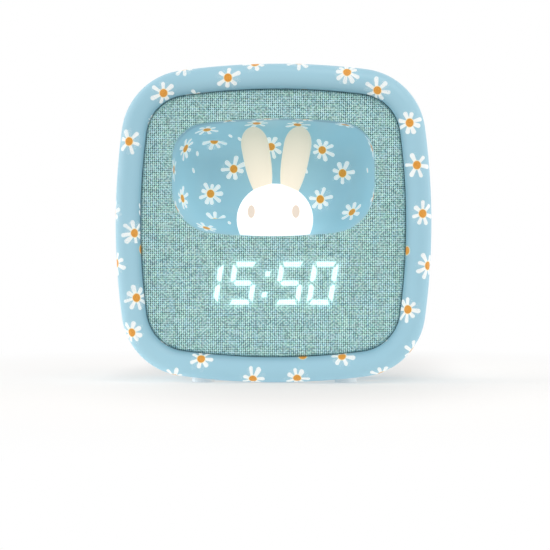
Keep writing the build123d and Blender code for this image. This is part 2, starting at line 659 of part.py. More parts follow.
def lamp_leds():
    chips = []
    for index in range(LAMP_LEDS):
        x = (index - (LAMP_LEDS - 1) / 2) * LAMP_LED_PITCH
        chips.append(tile(x, HEAD_Y, LED_W, LED_W, FIT, LAMP_BOARD_TOP_Z, LAMP_BOARD_TOP_Z + LED_T))
    return Compound(chips)


# ---- display ----

def bar_outlines():
    """Outline of each bar of one digit, before it is slanted, by its usual letter."""
    w, h, t = DIGIT_HALF_W, DIGIT_HALF_H, BAR / 2
    top = [(-w, h + t), (w, h + t), (w - BAR_MITRE, h - t), (BAR_MITRE - w, h - t)]
    upright = [(w + t, h - BAR_GAP), (w + t, BAR_MITRE), (w, BAR_GAP), (w - t, BAR_GAP + BAR_MITRE),
               (w - t, h - t - BAR_MITRE)]
    middle = [(BAR_GAP - w, 0), (BAR_GAP + BAR_MITRE - w, t), (w - BAR_GAP - BAR_MITRE, t),
              (w - BAR_GAP, 0), (w - BAR_GAP - BAR_MITRE, -t), (BAR_GAP + BAR_MITRE - w, -t)]

    def flip(points, sx, sz):
        return [(sx * x, sz * z) for x, z in points]

    return {"a": top, "b": upright, "c": flip(upright, 1, -1), "d": flip(top, 1, -1),
            "e": flip(upright, -1, -1), "f": flip(upright, -1, 1), "g": middle}


BARS_OF = {"0": "abcdef", "1": "bc", "5": "acdfg"}


def slanted(x, z):
    return (x + z * math.tan(math.radians(SLANT)), z)


def display_bars():
    """Each bar as (is lit, outline): four digits and the colon's two dots."""
    bars = []
    for centre, digit in zip(DIGIT_X, TIME_SHOWN):
        for letter, points in bar_outlines().items():
            outline = [slanted(x, z) for x, z in points]
            bars.append((letter in BARS_OF[digit], [(centre + x, DIGITS_Z + z) for x, z in outline]))
    half = BAR / 2
    for side in (-1, 1):
        square = [(-half, -half), (half, -half), (half, half), (-half, half)]
        dot = [slanted(x, side * COLON_HALF_H + z) for x, z in square]
        bars.append((True, [(COLON_X + x, DIGITS_Z + z) for x, z in dot]))
    return bars


def bar_solid(outline, y0, y1):
    face = Plane.XZ * make_face(Polyline(*outline, close=True))
    return Pos(0, y1, 0) * extrude(face, amount=y1 - y0)


def reflector_span():
    reach = DIGIT_HALF_W + BAR / 2 + REFLECTOR_MARGIN
    return (DIGIT_X[0] - reach, DIGIT_X[-1] + reach)


def reflector_height():
    return 2 * (DIGIT_HALF_H + BAR / 2 + REFLECTOR_MARGIN)


def board_spread(margin):
    """Corner points of a rectangle round the reflector."""
    low, high = reflector_span()
    half = reflector_height() / 2
    return [(x, DIGITS_Z + sz * half) for x in (low - margin, high + margin) for sz in (-1, 1)]


def display_screw_points():
    low, high = reflector_span()
    half = reflector_height() / 2 - POST_R
    reach = DISPLAY_BOARD_MARGIN - POST_R
    return [(x, DIGITS_Z + sz * half) for x in (low - reach, high + reach) for sz in (-1, 1)]


def display_reflector():
    low, high = reflector_span()
    middle, width, height = (low + high) / 2, high - low, reflector_height()
    body = plate(middle, DIGITS_Z, width, height, FIT, REFLECTOR_Y, DISPLAY_BOARD_Y)
    body += plate(middle, DIGITS_Z, width + 2 * REFLECTOR_LIP, height + 2 * REFLECTOR_LIP,
                  BOARD_CORNER_R, REFLECTOR_LIP_Y, REFLECTOR_LIP_Y + REFLECTOR_LIP_T)
    for lit, outline in display_bars():
        body -= bar_solid(outline, REFLECTOR_Y, DISPLAY_BOARD_Y)
    return body


def segments(wanted):
    """Clear resin cast into the reflector's pockets."""
    return Compound([bar_solid(outline, REFLECTOR_Y, REFLECTOR_Y + RESIN_T)
                     for lit, outline in display_bars() if lit == wanted])


def diffuser_film():
    low, high = reflector_span()
    return plate((low + high) / 2, DIGITS_Z, high - low, reflector_height(), FIT,
                 BAFFLE_Y, REFLECTOR_Y)


def display_gasket():
    low, high = reflector_span()
    middle, width, height = (low + high) / 2, high - low, reflector_height()
    y0, y1 = BAFFLE_BACK_Y, REFLECTOR_LIP_Y
    return (plate(middle, DIGITS_Z, width + 2 * REFLECTOR_LIP, height + 2 * REFLECTOR_LIP,
                  BOARD_CORNER_R, y0, y1)
            - plate(middle, DIGITS_Z, width + 2 * FIT, height + 2 * FIT, FIT, y0, y1))


def display_board():
    low, high = reflector_span()
    board = plate((low + high) / 2, DIGITS_Z, high - low + 2 * DISPLAY_BOARD_MARGIN,
                  reflector_height(), BOARD_CORNER_R,
                  DISPLAY_BOARD_Y, DISPLAY_BOARD_Y + DISPLAY_BOARD_T)
    for x, z in display_screw_points():
        board -= rod(x, z, SMALL_SCREW_R + SHAFT_FIT, DISPLAY_BOARD_Y, DISPLAY_BOARD_Y + DISPLAY_BOARD_T)
    return board


def display_leds():
    chips = []
    for lit, outline in display_bars():
        x = sum(point[0] for point in outline) / len(outline)
        z = sum(point[1] for point in outline) / len(outline)
        chips.append(block((x - CHIP_H / 2, x + CHIP_H / 2), (DISPLAY_BOARD_Y - CHIP_T, DISPLAY_BOARD_Y),
                           (z - CHIP_H / 2, z + CHIP_H / 2)))
    return Compound(chips)


# ---- main board ----

def main_board():
    low, high = MAIN_BOARD_Z
    board = plate(0, (low + high) / 2, 2 * board_half_width(), high - low, BOARD_CORNER_R,
                  MAIN_BOARD_Y, MAIN_BOARD_BACK_Y)
    for x, z in board_hole_points():
        board -= rod(x, z, SMALL_SCREW_R + SHAFT_FIT, MAIN_BOARD_Y, MAIN_BOARD_BACK_Y)
    return board


def microcontroller():
    """Flat square package with leads on all four sides."""
    x, z, t = -14.0, 34.0, 1.4
    lead_pitch, lead_w, lead_t, leads, reach = 1.0, 0.4, 0.2, 8, 1.0
    half = CHIP_SIDE / 2
    chip = block((x - half, x + half), (MAIN_BOARD_Y - t, MAIN_BOARD_Y - FIT), (z - half, z + half))
    for index in range(leads):
        along = (index - (leads - 1) / 2) * lead_pitch
        for low, high in ((-half - reach, -half), (half, half + reach)):
            chip += block((x + low, x + high), (MAIN_BOARD_Y - lead_t, MAIN_BOARD_Y),
                          (z + along - lead_w / 2, z + along + lead_w / 2))
            chip += block((x + along - lead_w / 2, x + along + lead_w / 2),
                          (MAIN_BOARD_Y - lead_t, MAIN_BOARD_Y), (z + low, z + high))
    return chip


def clock_crystal():
    x, z, radius, length = 0.0, 34.0, 1.5, 8.0
    return Pos(x, MAIN_BOARD_Y - radius, z) * Cylinder(radius, length)


def header_x(index):
    return (index - (HEADERS - 1) / 2) * HEADER_PITCH


def board_connectors():
    """Plug-in headers for the cell, the display, the lamp, the speaker and the touch electrode."""
    bore_w, bore_h = HEADER_W - 2 * HEADER_WALL, HEADER_H - 2 * HEADER_WALL
    front = MAIN_BOARD_Y - HEADER_DEPTH
    headers = []
    for index in range(HEADERS):
        header = plate(header_x(index), HEADERS_Z, HEADER_W, HEADER_H, FIT, front, MAIN_BOARD_Y)
        headers.append(header - plate(header_x(index), HEADERS_Z, bore_w, bore_h, FIT,
                                      front, MAIN_BOARD_Y - HEADER_WALL))
    return Compound(headers)


def lead_path(points):
    """Straight runs joined by arcs as large as the runs allow."""
    radii = []
    for before, corner, after in zip(points, points[1:], points[2:]):
        first, second = Vector(*corner) - Vector(*before), Vector(*after) - Vector(*corner)
        half_turn = math.radians(first.get_angle(second)) / 2
        radii.append(LEAD_ARC * min(first.length, second.length) / math.tan(half_turn))
    return FilletPolyline(*points, radius=radii)


def lead(index, points):
    """A plug in its header, and a lead from it along a route to the lead's far end."""
    bore_w, bore_h = HEADER_W - 2 * HEADER_WALL, HEADER_H - 2 * HEADER_WALL
    front = MAIN_BOARD_Y - HEADER_DEPTH
    start = (header_x(index), front, HEADERS_Z)
    plug = plate(start[0], HEADERS_Z, bore_w - FIT, bore_h - FIT, FIT / 2,
                 front, MAIN_BOARD_Y - HEADER_WALL - FIT)
    path = lead_path([start] + points)
    return plug + sweep((path ^ 0) * Circle(LEAD_R), path=path)


def board_leads():
    """Leads to the cell, the display, the lamp, the speaker and the touch electrode."""
    front = MAIN_BOARD_Y - HEADER_DEPTH
    display_y = DISPLAY_BOARD_Y + DISPLAY_BOARD_T
    lamp_z = LAMP_BOARD_TOP_Z - BOARD_T
    lamp_y = HEAD_Y + LAMP_PIN_SETBACK / 2
    above_cell = CELL_Z + CELL_R
    behind_bowl = ALCOVE_BACK_Y + LINER_T + 3 * LEAD_R
    cell_x, display_x, lamp_x, speaker_x, touch_x = [header_x(index) for index in range(HEADERS)]
    magnet_y = BACK_WALL_Y - FIT - SPEAKER_T - MAGNET_T / 2
    magnet_z = SPEAKER_Z - MAGNET_R - FIT
    foil_x, foil_y = touch_x / 2, sum(ELECTRODE_Y) / 2
    foil_z = HEIGHT - WALL - SHAFT_FIT - ELECTRODE_T - bow_drop(SIDE_BOW - WALL, foil_x) - FIT
    return Compound([
        lead(0, [(cell_x, front - 6, HEADERS_Z), (cell_x - 5, CELL_Y, above_cell + 9),
                 (cell_x - 5, CELL_Y, above_cell)]),
        lead(1, [(display_x, front - 9, HEADERS_Z - 1), (display_x + 1, display_y + 6, DIGITS_Z + 6),
                 (display_x + 1, display_y, DIGITS_Z + 6)]),
        lead(2, [(lamp_x, front - 7, HEADERS_Z - 1), (lamp_x, lamp_y, lamp_z - 6),
                 (lamp_x, lamp_y, lamp_z)]),
        lead(3, [(speaker_x, front - 3, HEADERS_Z + 3), (speaker_x - 3, front - 1, HEADERS_Z + 12),
                 (0, magnet_y, magnet_z - 6), (0, magnet_y, magnet_z)]),
        lead(4, [(touch_x, front - 2.5, HEADERS_Z + 1), (touch_x, behind_bowl, HEADERS_Z + 16),
                 (touch_x - 3, behind_bowl + 1, ALCOVE_MID_Z + 8),
                 (touch_x - 5, behind_bowl + 0.5, ALCOVE_TOP_Z + 3),
                 (foil_x, foil_y, foil_z - 6), (foil_x, foil_y, foil_z)]),
    ])


def usb_socket():
    """Upright charging socket: a flattened tube with a tongue inside."""
    y0, y1 = MAIN_BOARD_BACK_Y, BACK_WALL_Y - FIT
    bore_w, bore_h = SOCKET_W - 2 * SOCKET_SHELL, SOCKET_H - 2 * SOCKET_SHELL
    floor_y = y0 + RIB_T
    socket = plate(0, SOCKET_Z, SOCKET_W, SOCKET_H, SOCKET_H / 2 - FIT, y0, y1)
    socket -= plate(0, SOCKET_Z, bore_w, bore_h, bore_h / 2 - FIT, floor_y, y1)
    tongue_w = SOCKET_W - SOCKET_H
    return socket + plate(0, SOCKET_Z, tongue_w, SOCKET_TONGUE, FIT, floor_y, y1 - SOCKET_TONGUE)


def key_switch_bodies():
    """Push switches behind the buttons, each with a bore for its plunger."""
    bodies = []
    bore_y = SWITCH_FACE_Y - PLUNGER_DEPTH - BUTTON_TRAVEL
    for index in range(len(BUTTON_NAMES)):
        x = button_x(index)
        body = plate(x, BUTTONS_Z, SWITCH_W, SWITCH_W, FIT, MAIN_BOARD_BACK_Y, SWITCH_FACE_Y)
        bodies.append(body - rod(x, BUTTONS_Z, PLUNGER_R + SHAFT_FIT, bore_y, SWITCH_FACE_Y))
    return Compound(bodies)


def rear_button(index):
    """Round key in a hole of the back, kept in by a flange behind the wall."""
    x = button_x(index)
    flange_y = BACK_WALL_Y - FIT
    cap = rod(x, BUTTONS_Z, BUTTON_R, flange_y, REAR_Y + BUTTON_PROUD)
    cap = fillet(cap.faces().sort_by(Axis.Y)[-1].edges(), BUTTON_EDGE)
    cap += rod(x, BUTTONS_Z, BUTTON_R + BUTTON_FLANGE, flange_y - BUTTON_FLANGE_T, flange_y)
    return cap


def switch_plunger(index):
    """Plunger from the switch to the back of its key."""
    start = SWITCH_FACE_Y - PLUNGER_DEPTH
    return rod(button_x(index), BUTTONS_Z, PLUNGER_R, start, BACK_WALL_Y - FIT - BUTTON_FLANGE_T)


# ---- speaker, cell, electrode ----

def speaker_frame():
    """Pressed basket from the rim down to the magnet."""
    y0 = BACK_WALL_Y - FIT
    t = CONE_T * 2
    points = [(CONE_R, y0), (SPEAKER_R, y0), (SPEAKER_R, y0 - SPEAKER_LIP), (SPEAKER_R - t, y0 - SPEAKER_LIP),
              (MAGNET_R, y0 - SPEAKER_T), (0, y0 - SPEAKER_T), (0, y0 - SPEAKER_T + t),
              (MAGNET_R - t, y0 - SPEAKER_T + t), (SPEAKER_R - 2 * t, y0 - t), (CONE_R, y0 - t)]
    return spin(points, 0, SPEAKER_Z)


def speaker_cone():
    """Thin cone with a domed centre, its edge resting inside the frame's rim."""
    y0 = BACK_WALL_Y - FIT
    t, rise = CONE_T, CONE_R / 3
    points = [(0, y0 - t), (rise, y0 - 2 * t), (rise + t, y0 - 5 * t), (CONE_R - 2 * t, y0 - t),
              (CONE_R, y0 - t), (CONE_R, y0 - 2 * t), (CONE_R - 2 * t, y0 - 2 * t),
              (rise + t, y0 - 6 * t), (rise - t, y0 - 3 * t), (0, y0 - 2 * t)]
    return spin(points, 0, SPEAKER_Z)


def speaker_magnet():
    y1 = BACK_WALL_Y - FIT - SPEAKER_T
    return rod(0, SPEAKER_Z, MAGNET_R, y1 - MAGNET_T, y1)


def battery_cell():
    """Round rechargeable cell lying across the bottom."""
    cell = Pos(0, CELL_Y, CELL_Z) * Rot(0, 90, 0) * Cylinder(CELL_R, CELL_LENGTH)
    return fillet(cell.edges().filter_by(GeomType.CIRCLE), SCREW_R)


def cell_cradle():
    """Trough on cross ribs that carries the cell above the casing's bottom wall."""
    outer = CELL_R + FIT + CRADLE_T
    length = CELL_LENGTH + 2 * (FIT + CRADLE_T)
    axis = Pos(0, CELL_Y, CELL_Z) * Rot(0, 90, 0)
    cradle = axis * Cylinder(outer, length)
    for index in range(CRADLE_RIBS):
        x = (index - (CRADLE_RIBS - 1) / 2) * CRADLE_RIB_PITCH
        cradle += block((x - CRADLE_T / 2, x + CRADLE_T / 2), (CELL_Y - outer, CELL_Y + outer), (0, CELL_Z))
    cradle = cradle & slab(casing_outline(WALL + SHAFT_FIT), FRONT_Y, REAR_Y)
    cradle -= axis * Cylinder(CELL_R + FIT, CELL_LENGTH + 2 * FIT)
    return cradle & block((-HALF_W, HALF_W), (FRONT_Y, REAR_Y), (0, CELL_Z))


def touch_electrode():
    """Thin foil stuck under the top wall."""
    inset = WALL + SHAFT_FIT
    foil = slab(casing_outline(inset), *ELECTRODE_Y) - slab(casing_outline(inset + ELECTRODE_T), *ELECTRODE_Y)
    return foil & block((-ELECTRODE_W / 2, ELECTRODE_W / 2), ELECTRODE_Y, (MID_Z, HEIGHT))


# ---- screws ----

def casing_screws():
    head_y = BOSS_END_Y + FIT + WELL_FLOOR
    return Compound([screw(x, z, SCREW_R, SCREW_HEAD_R, SCREW_HEAD_T, SCREW_LENGTH, head_y, -1)
                     for x, z in corner_points(SCREW_INSET)])


def display_screws():
    y = DISPLAY_BOARD_Y + DISPLAY_BOARD_T
    return Compound([small_screw(x, z, y, -1) for x, z in display_screw_points()])


def liner_screws():
    return Compound([small_screw(sx * LUG_X, LUG_Z, LUG_Y + LUG_T, -1) for sx in (-1, 1)])


def board_screws():
    return Compound([small_screw(x, z, MAIN_BOARD_Y, 1) for x, z in board_hole_points()])


def speaker_screws():
    y = BACK_WALL_Y - SPEAKER_LIP - FIT
    return Compound([small_screw(x, z, y, 1, SPEAKER_SCREW_LENGTH) for x, z in speaker_screw_points()])


PIECES = {
    "front_casing": front_casing,
    "rear_cover": rear_cover,
    "foot_pads": foot_pads,
    "front_baffle": front_baffle,
    "fabric_cover": fabric_cover,
    "alcove_liner": alcove_liner,
    "bunny_head": bunny_head,
    "bunny_ear_left": lambda: bunny_ear(-1),
    "bunny_ear_right": lambda: bunny_ear(1),
    "bunny_eyes": bunny_eyes,
    "lamp_board": lamp_board,
    "lamp_leds": lamp_leds,
    "display_reflector": display_reflector,
    "segments_lit": lambda: segments(True),
    "segments_unlit": lambda: segments(False),
    "diffuser_film": diffuser_film,
    "display_gasket": display_gasket,
    "display_board": display_board,
    "display_leds": display_leds,
    "main_board": main_board,
    "microcontroller": microcontroller,
    "clock_crystal": clock_crystal,
    "board_connectors": board_connectors,
    "board_leads": board_leads,
    "usb_socket": usb_socket,
    "key_switch_bodies": key_switch_bodies,
    "speaker_frame": speaker_frame,
    "speaker_cone": speaker_cone,
    "speaker_magnet": speaker_magnet,
    "battery_cell": battery_cell,
    "cell_cradle": cell_cradle,
    "touch_electrode": touch_electrode,
    "casing_screws": casing_screws,
    "display_screws": display_screws,
    "liner_screws": liner_screws,
    "board_screws": board_screws,
    "speaker_screws": speaker_screws,
}
for number, button in enumerate(BUTTON_NAMES):
    PIECES[button] = lambda number=number: rear_button(number)
    PIECES[button.replace("button", "plunger")] = lambda number=number: switch_plunger(number)

os.makedirs("parts", exist_ok=True)
for node, make in PIECES.items():
    export_step(make(), f"parts/{node}.step")
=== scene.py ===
import math
import random

import bmesh
import bpy
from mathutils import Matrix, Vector
from mathutils.bvhtree import BVHTree
from mathutils.geometry import delaunay_2d_cdt
from mathutils.kdtree import KDTree


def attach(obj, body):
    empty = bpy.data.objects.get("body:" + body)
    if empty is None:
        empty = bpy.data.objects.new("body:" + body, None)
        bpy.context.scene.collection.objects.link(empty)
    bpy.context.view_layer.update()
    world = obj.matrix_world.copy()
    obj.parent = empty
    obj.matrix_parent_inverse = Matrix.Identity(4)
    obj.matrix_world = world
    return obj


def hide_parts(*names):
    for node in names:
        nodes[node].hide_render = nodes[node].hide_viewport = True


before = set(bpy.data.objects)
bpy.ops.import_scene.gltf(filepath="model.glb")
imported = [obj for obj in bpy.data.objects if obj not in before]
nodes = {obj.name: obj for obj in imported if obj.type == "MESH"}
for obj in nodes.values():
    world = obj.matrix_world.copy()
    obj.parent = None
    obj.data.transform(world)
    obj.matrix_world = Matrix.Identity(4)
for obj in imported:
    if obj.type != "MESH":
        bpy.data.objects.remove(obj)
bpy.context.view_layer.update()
MM = 0.001


# ---- Front casing ----
# A ring moulded in pale blue ABS: bowed sides, a rounded rim that slopes in to the cloth, and a
# ledge behind it. Small daisies are printed on the rim and carry on round the sides.

CASING_HALF_W = 57.0
CASING_HALF_H = 57.35
CASING_MID_Z = 57.65
CASING_BOW = 255.0
CASING_CORNER = 24.5
CASING_PITCH = 0.85
RIM_ROUND = 4.3
RIM_ROUND_Y = -23.2
SLOPE_INSET = 4.55
SLOPE_Y = -23.9
SLOPE_ACROSS = 4.5
SLOPE_DROP = 3.6
RIM_SKIN_INSET = 7.5
LEDGE_INSET = 13.5
LEDGE_Y = -20.5
LEDGE_BACK_Y = -18.5
WALL = 2.2
LIP_Y = 6.0
SPLIT_Y = 8.0
REVEAL = 0.35
SKIN_CREST = (3.9, -25.2)
SKIN_FOOT_Y = -22.9
GROOVE_FROM = 4.0
GROOVE_AT = 9.1
GROOVE_BACK_Y = -20.0


def station_arcs(half_w, half_h, bow, corner_r):
    """One quarter of a soft square as (hub, radius, first angle, last angle) of three tangent arcs."""
    side, cap = Vector((half_w - bow, 0)), Vector((0, half_h - bow))
    across = cap - side
    middle = (side + cap) / 2
    height = math.sqrt((bow - corner_r) ** 2 - (across.length / 2) ** 2)
    square = Vector((across.y, -across.x)).normalized()
    corner = max((middle + height * square, middle - height * square), key=lambda p: p.x + p.y)
    leave = math.atan2(corner.y - side.y, corner.x - side.x)
    arrive = math.atan2(corner.y - cap.y, corner.x - cap.x)
    return [(side, bow, 0.0, leave), (corner, corner_r, leave, arrive), (cap, bow, arrive, math.pi / 2)]


def outline_stations(half_w, half_h, bow, top_r, low_r, mid_z, pitch):
    """Points (x, z) of a soft square with the outward direction at each, anticlockwise."""
    stations = []
    for corner_r, sx, sz in ((top_r, 1, 1), (top_r, -1, 1), (low_r, -1, -1), (low_r, 1, -1)):
        quarter = []
        for hub, radius, first, last in station_arcs(half_w, half_h, bow, corner_r):
            steps = max(2, math.ceil(radius * (last - first) / pitch))
            for step in range(steps):
                turn = first + (last - first) * step / steps
                out = Vector((math.cos(turn), math.sin(turn)))
                quarter.append((hub + radius * out, out))
        quarter.append((Vector((0, half_h)), Vector((0, 1))))
        if sx * sz < 0:
            quarter.reverse()
        for point, out in quarter[:-1]:
            stations.append((Vector((sx * point.x, mid_z + sz * point.y)), Vector((sx * out.x, sz * out.y))))
    return stations


def casing_stations(inset, pitch):
    return outline_stations(CASING_HALF_W - inset, CASING_HALF_H - inset, CASING_BOW - inset,
                            CASING_CORNER - inset, CASING_CORNER - inset, CASING_MID_Z, pitch)


def run(points, pitch):
    """A polyline with more points along its runs, none further apart than pitch."""
    fine = []
    for (ax, ay), (bx, by) in zip(points, points[1:]):
        steps = max(1, math.ceil(math.hypot(bx - ax, by - ay) / pitch))
        fine += [(ax + (bx - ax) * k / steps, ay + (by - ay) * k / steps) for k in range(steps)]
    return fine + [points[-1]]


def arc(middle, radii, first, last, steps):
    """Points of an elliptic arc in a section, angles in degrees."""
    turns = [math.radians(first + (last - first) * k / steps) for k in range(steps + 1)]
    return [(middle[0] + radii[0] * math.cos(t), middle[1] + radii[1] * math.sin(t)) for t in turns]


def round_tree():
    """Geometry Nodes: a closed section carried round a closed outline."""
    tree = bpy.data.node_groups.new("Section carried round an outline", "GeometryNodeTree")
    tree.is_modifier = True
    sockets = {}
    for label, way, kind in (("Outline", "INPUT", "Geometry"), ("Section", "INPUT", "Object"),
                             ("Finish", "INPUT", "Material"), ("Moulding", "OUTPUT", "Geometry")):
        made = tree.interface.new_socket(label, in_out=way, socket_type="NodeSocket" + kind)
        sockets[label] = made.identifier
    made = {name: tree.nodes.new(kind) for name, kind in (
        ("in", "NodeGroupInput"), ("out", "NodeGroupOutput"), ("path", "GeometryNodeMeshToCurve"),
        ("up", "GeometryNodeSetCurveNormal"), ("section", "GeometryNodeObjectInfo"),
        ("profile", "GeometryNodeMeshToCurve"), ("sweep", "GeometryNodeCurveToMesh"),
        ("stand", "GeometryNodeTransform"), ("real", "GeometryNodeRealizeInstances"),
        ("paint", "GeometryNodeSetMaterial"))}
    made["up"].mode = "Z_UP"
    made["stand"].inputs["Rotation"].default_value = (math.pi / 2, 0, 0)
    for a, out, b, into in (
            ("in", "Outline", "path", "Mesh"), ("path", "Curve", "up", "Curve"),
            ("in", "Section", "section", "Object"), ("section", "Geometry", "profile", "Mesh"),
            ("up", "Curve", "sweep", "Curve"), ("profile", "Curve", "sweep", "Profile Curve"),
            ("sweep", "Mesh", "stand", "Geometry"), ("stand", "Geometry", "real", "Geometry"),
            ("real", "Geometry", "paint", "Geometry"), ("in", "Finish", "paint", "Material"),
            ("paint", "Geometry", "out", "Moulding")):
        tree.links.new(made[a].outputs[out], made[b].inputs[into])
    return tree, sockets


def loop_object(name, points):
    """A helper object whose mesh is one closed loop of edges in its XY plane."""
    mesh = bpy.data.meshes.new(name)
    edges = [(k, (k + 1) % len(points)) for k in range(len(points))]
    mesh.from_pydata([(x * MM, y * MM, 0) for x, y in points], edges, [])
    made = bpy.data.objects.new(name, mesh)
    bpy.context.scene.collection.objects.link(made)
    return made


def place(name, mesh, body, slot, *replaced):
    """A finished piece: it rides a body and stands for CAD nodes. Its slot is not used."""
    made = bpy.data.objects.new(name, mesh)
    bpy.context.scene.collection.objects.link(made)
    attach(made, body)
    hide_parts(*replaced)
    return made


def face_out(mesh):
    """Turns every face of a closed shell outwards."""
    work = bmesh.new()
    work.from_mesh(mesh)
    bmesh.ops.remove_doubles(work, verts=work.verts, dist=1e-7)
    bmesh.ops.recalc_face_normals(work, faces=work.faces)
    work.to_mesh(mesh)
    work.free()


def soften(mesh, degrees):
    """Smooth shading, but for edges sharper than an angle."""
    mesh.shade_smooth()
    mesh.set_sharp_from_angle(angle=math.radians(degrees))


def srgb(red, green, blue):
    """A colour written 0 to 255 as a screen shows it, for a socket."""
    shares = [c / 255 for c in (red, green, blue)]
    return (*[((c + 0.055) / 1.055) ** 2.4 if c > 0.04 else c / 12.92 for c in shares], 1)


BLACK = (0, 0, 0, 1)
WHITE = (1, 1, 1, 1)


class Value:
    """A socket of a material. Arithmetic on it adds Math nodes."""

    def __init__(self, finish, socket):
        self.finish = finish
        self.socket = socket

    def math(self, operation, *inputs):
        made = self.finish.node("ShaderNodeMath", {"operation": operation}, dict(enumerate(inputs)))
        return Value(self.finish, made.outputs[0])

    def __add__(self, other):
        return self.math("ADD", self, other)

    __radd__ = __add__

    def __sub__(self, other):
        return self.math("SUBTRACT", self, other)

    def __rsub__(self, other):
        return self.math("SUBTRACT", other, self)

    def __mul__(self, other):
        return self.math("MULTIPLY", self, other)

    __rmul__ = __mul__

    def __truediv__(self, other):
        return self.math("DIVIDE", self, other)

    def __rtruediv__(self, other):
        return self.math("DIVIDE", other, self)

    def least(self, other):
        return self.math("MINIMUM", self, other)

    def most(self, other):
        return self.math("MAXIMUM", self, other)

    def floor(self):
        return self.math("FLOOR", self)

    def fract(self):
        return self.math("FRACT", self)

    def sine(self):
        return self.math("SINE", self)

    def cosine(self):
        return self.math("COSINE", self)

    def size(self):
        return self.math("ABSOLUTE", self)

    def root(self):
        return self.math("SQRT", self)

    def step(self, low, high, low_out=0.0, high_out=1.0):
        """Eases from low_out at low to high_out at high."""
        made = self.finish.node("ShaderNodeMapRange", {"interpolation_type": "SMOOTHSTEP"}, {
            "Value": self, "From Min": low, "From Max": high, "To Min": low_out, "To Max": high_out})
        return Value(self.finish, made.outputs["Result"])

    def tint(self, low, high):
        """The colour low where this is 0 and high where it is 1."""
        made = self.finish.node("ShaderNodeMix", {"data_type": "RGBA"}, {0: self, 6: low, 7: high})
        return Value(self.finish, made.outputs[2])


class Finish:
    """A procedural material, built up one node at a time."""

    def __init__(self, name, holder=None):
        self.material = holder or bpy.data.materials.new(name)
        self.material.use_nodes = True
        self.tree = self.material.node_tree
        self.tree.nodes.clear()

    def node(self, kind, settings, sockets):
        made = self.tree.nodes.new(kind)
        for name, value in settings.items():
            setattr(made, name, value)
        for name, value in sockets.items():
            if isinstance(value, Value):
                self.tree.links.new(value.socket, made.inputs[name])
            else:
                made.inputs[name].default_value = value
        return made

    def spot(self):
        """Object coordinates."""
        return Value(self, self.node("ShaderNodeTexCoord", {}, {}).outputs["Object"])

    def parts(self, vector):
        made = self.node("ShaderNodeSeparateXYZ", {}, {0: vector})
        return [Value(self, made.outputs[axis]) for axis in "XYZ"]

    def triple(self, x, y, z):
        return Value(self, self.node("ShaderNodeCombineXYZ", {}, {0: x, 1: y, 2: z}).outputs[0])

    def stored(self, name, output="Vector"):
        made = self.node("ShaderNodeAttribute", {"attribute_name": name}, {})
        return Value(self, made.outputs[output])

    def noise(self, vector, scale, detail=2.0):
        made = self.node("ShaderNodeTexNoise", {}, {"Vector": vector, "Scale": scale, "Detail": detail})
        return Value(self, made.outputs["Fac"])

    def chance(self, x, y=0.0, z=0.0):
        """A random number from 0 to 1 for each set of whole numbers."""
        made = self.node("ShaderNodeTexWhiteNoise", {"noise_dimensions": "3D"},
                         {"Vector": self.triple(x, y, z)})
        return Value(self, made.outputs["Value"])

    def bump(self, height, depth, strength=1.0):
        made = self.node("ShaderNodeBump", {}, {"Height": height, "Distance": depth, "Strength": strength})
        return Value(self, made.outputs[0])

    def shell(self, **sockets):
        """The surface itself. Socket names are written with underscores."""
        named = {name.replace("_", " ").title().replace("Ior", "IOR"): sockets[name] for name in sockets}
        surface = self.node("ShaderNodeBsdfPrincipled", {}, named)
        output = self.node("ShaderNodeOutputMaterial", {}, {})
        self.tree.links.new(surface.outputs[0], output.inputs[0])
        return self.material


DAISY_REACH = 5.1
PETALS_LEAST = 6.7
PETALS_MORE = 2.6
PETAL_SHORTER = 1.5
PETAL_HALF_W = 0.62
PETAL_WIDER = 0.3
PETAL_ROOT = 1.2
DISC_R = 1.44
RING_OUT = 0.42
CRUMB_R = 0.9
PRINT_BORDER = 5.4
CRUMB_REACH = 1.5
LOWER_HALF = 500
UPPER_HALF = 600
BARE_DISC = 700
CRUMB = 1000


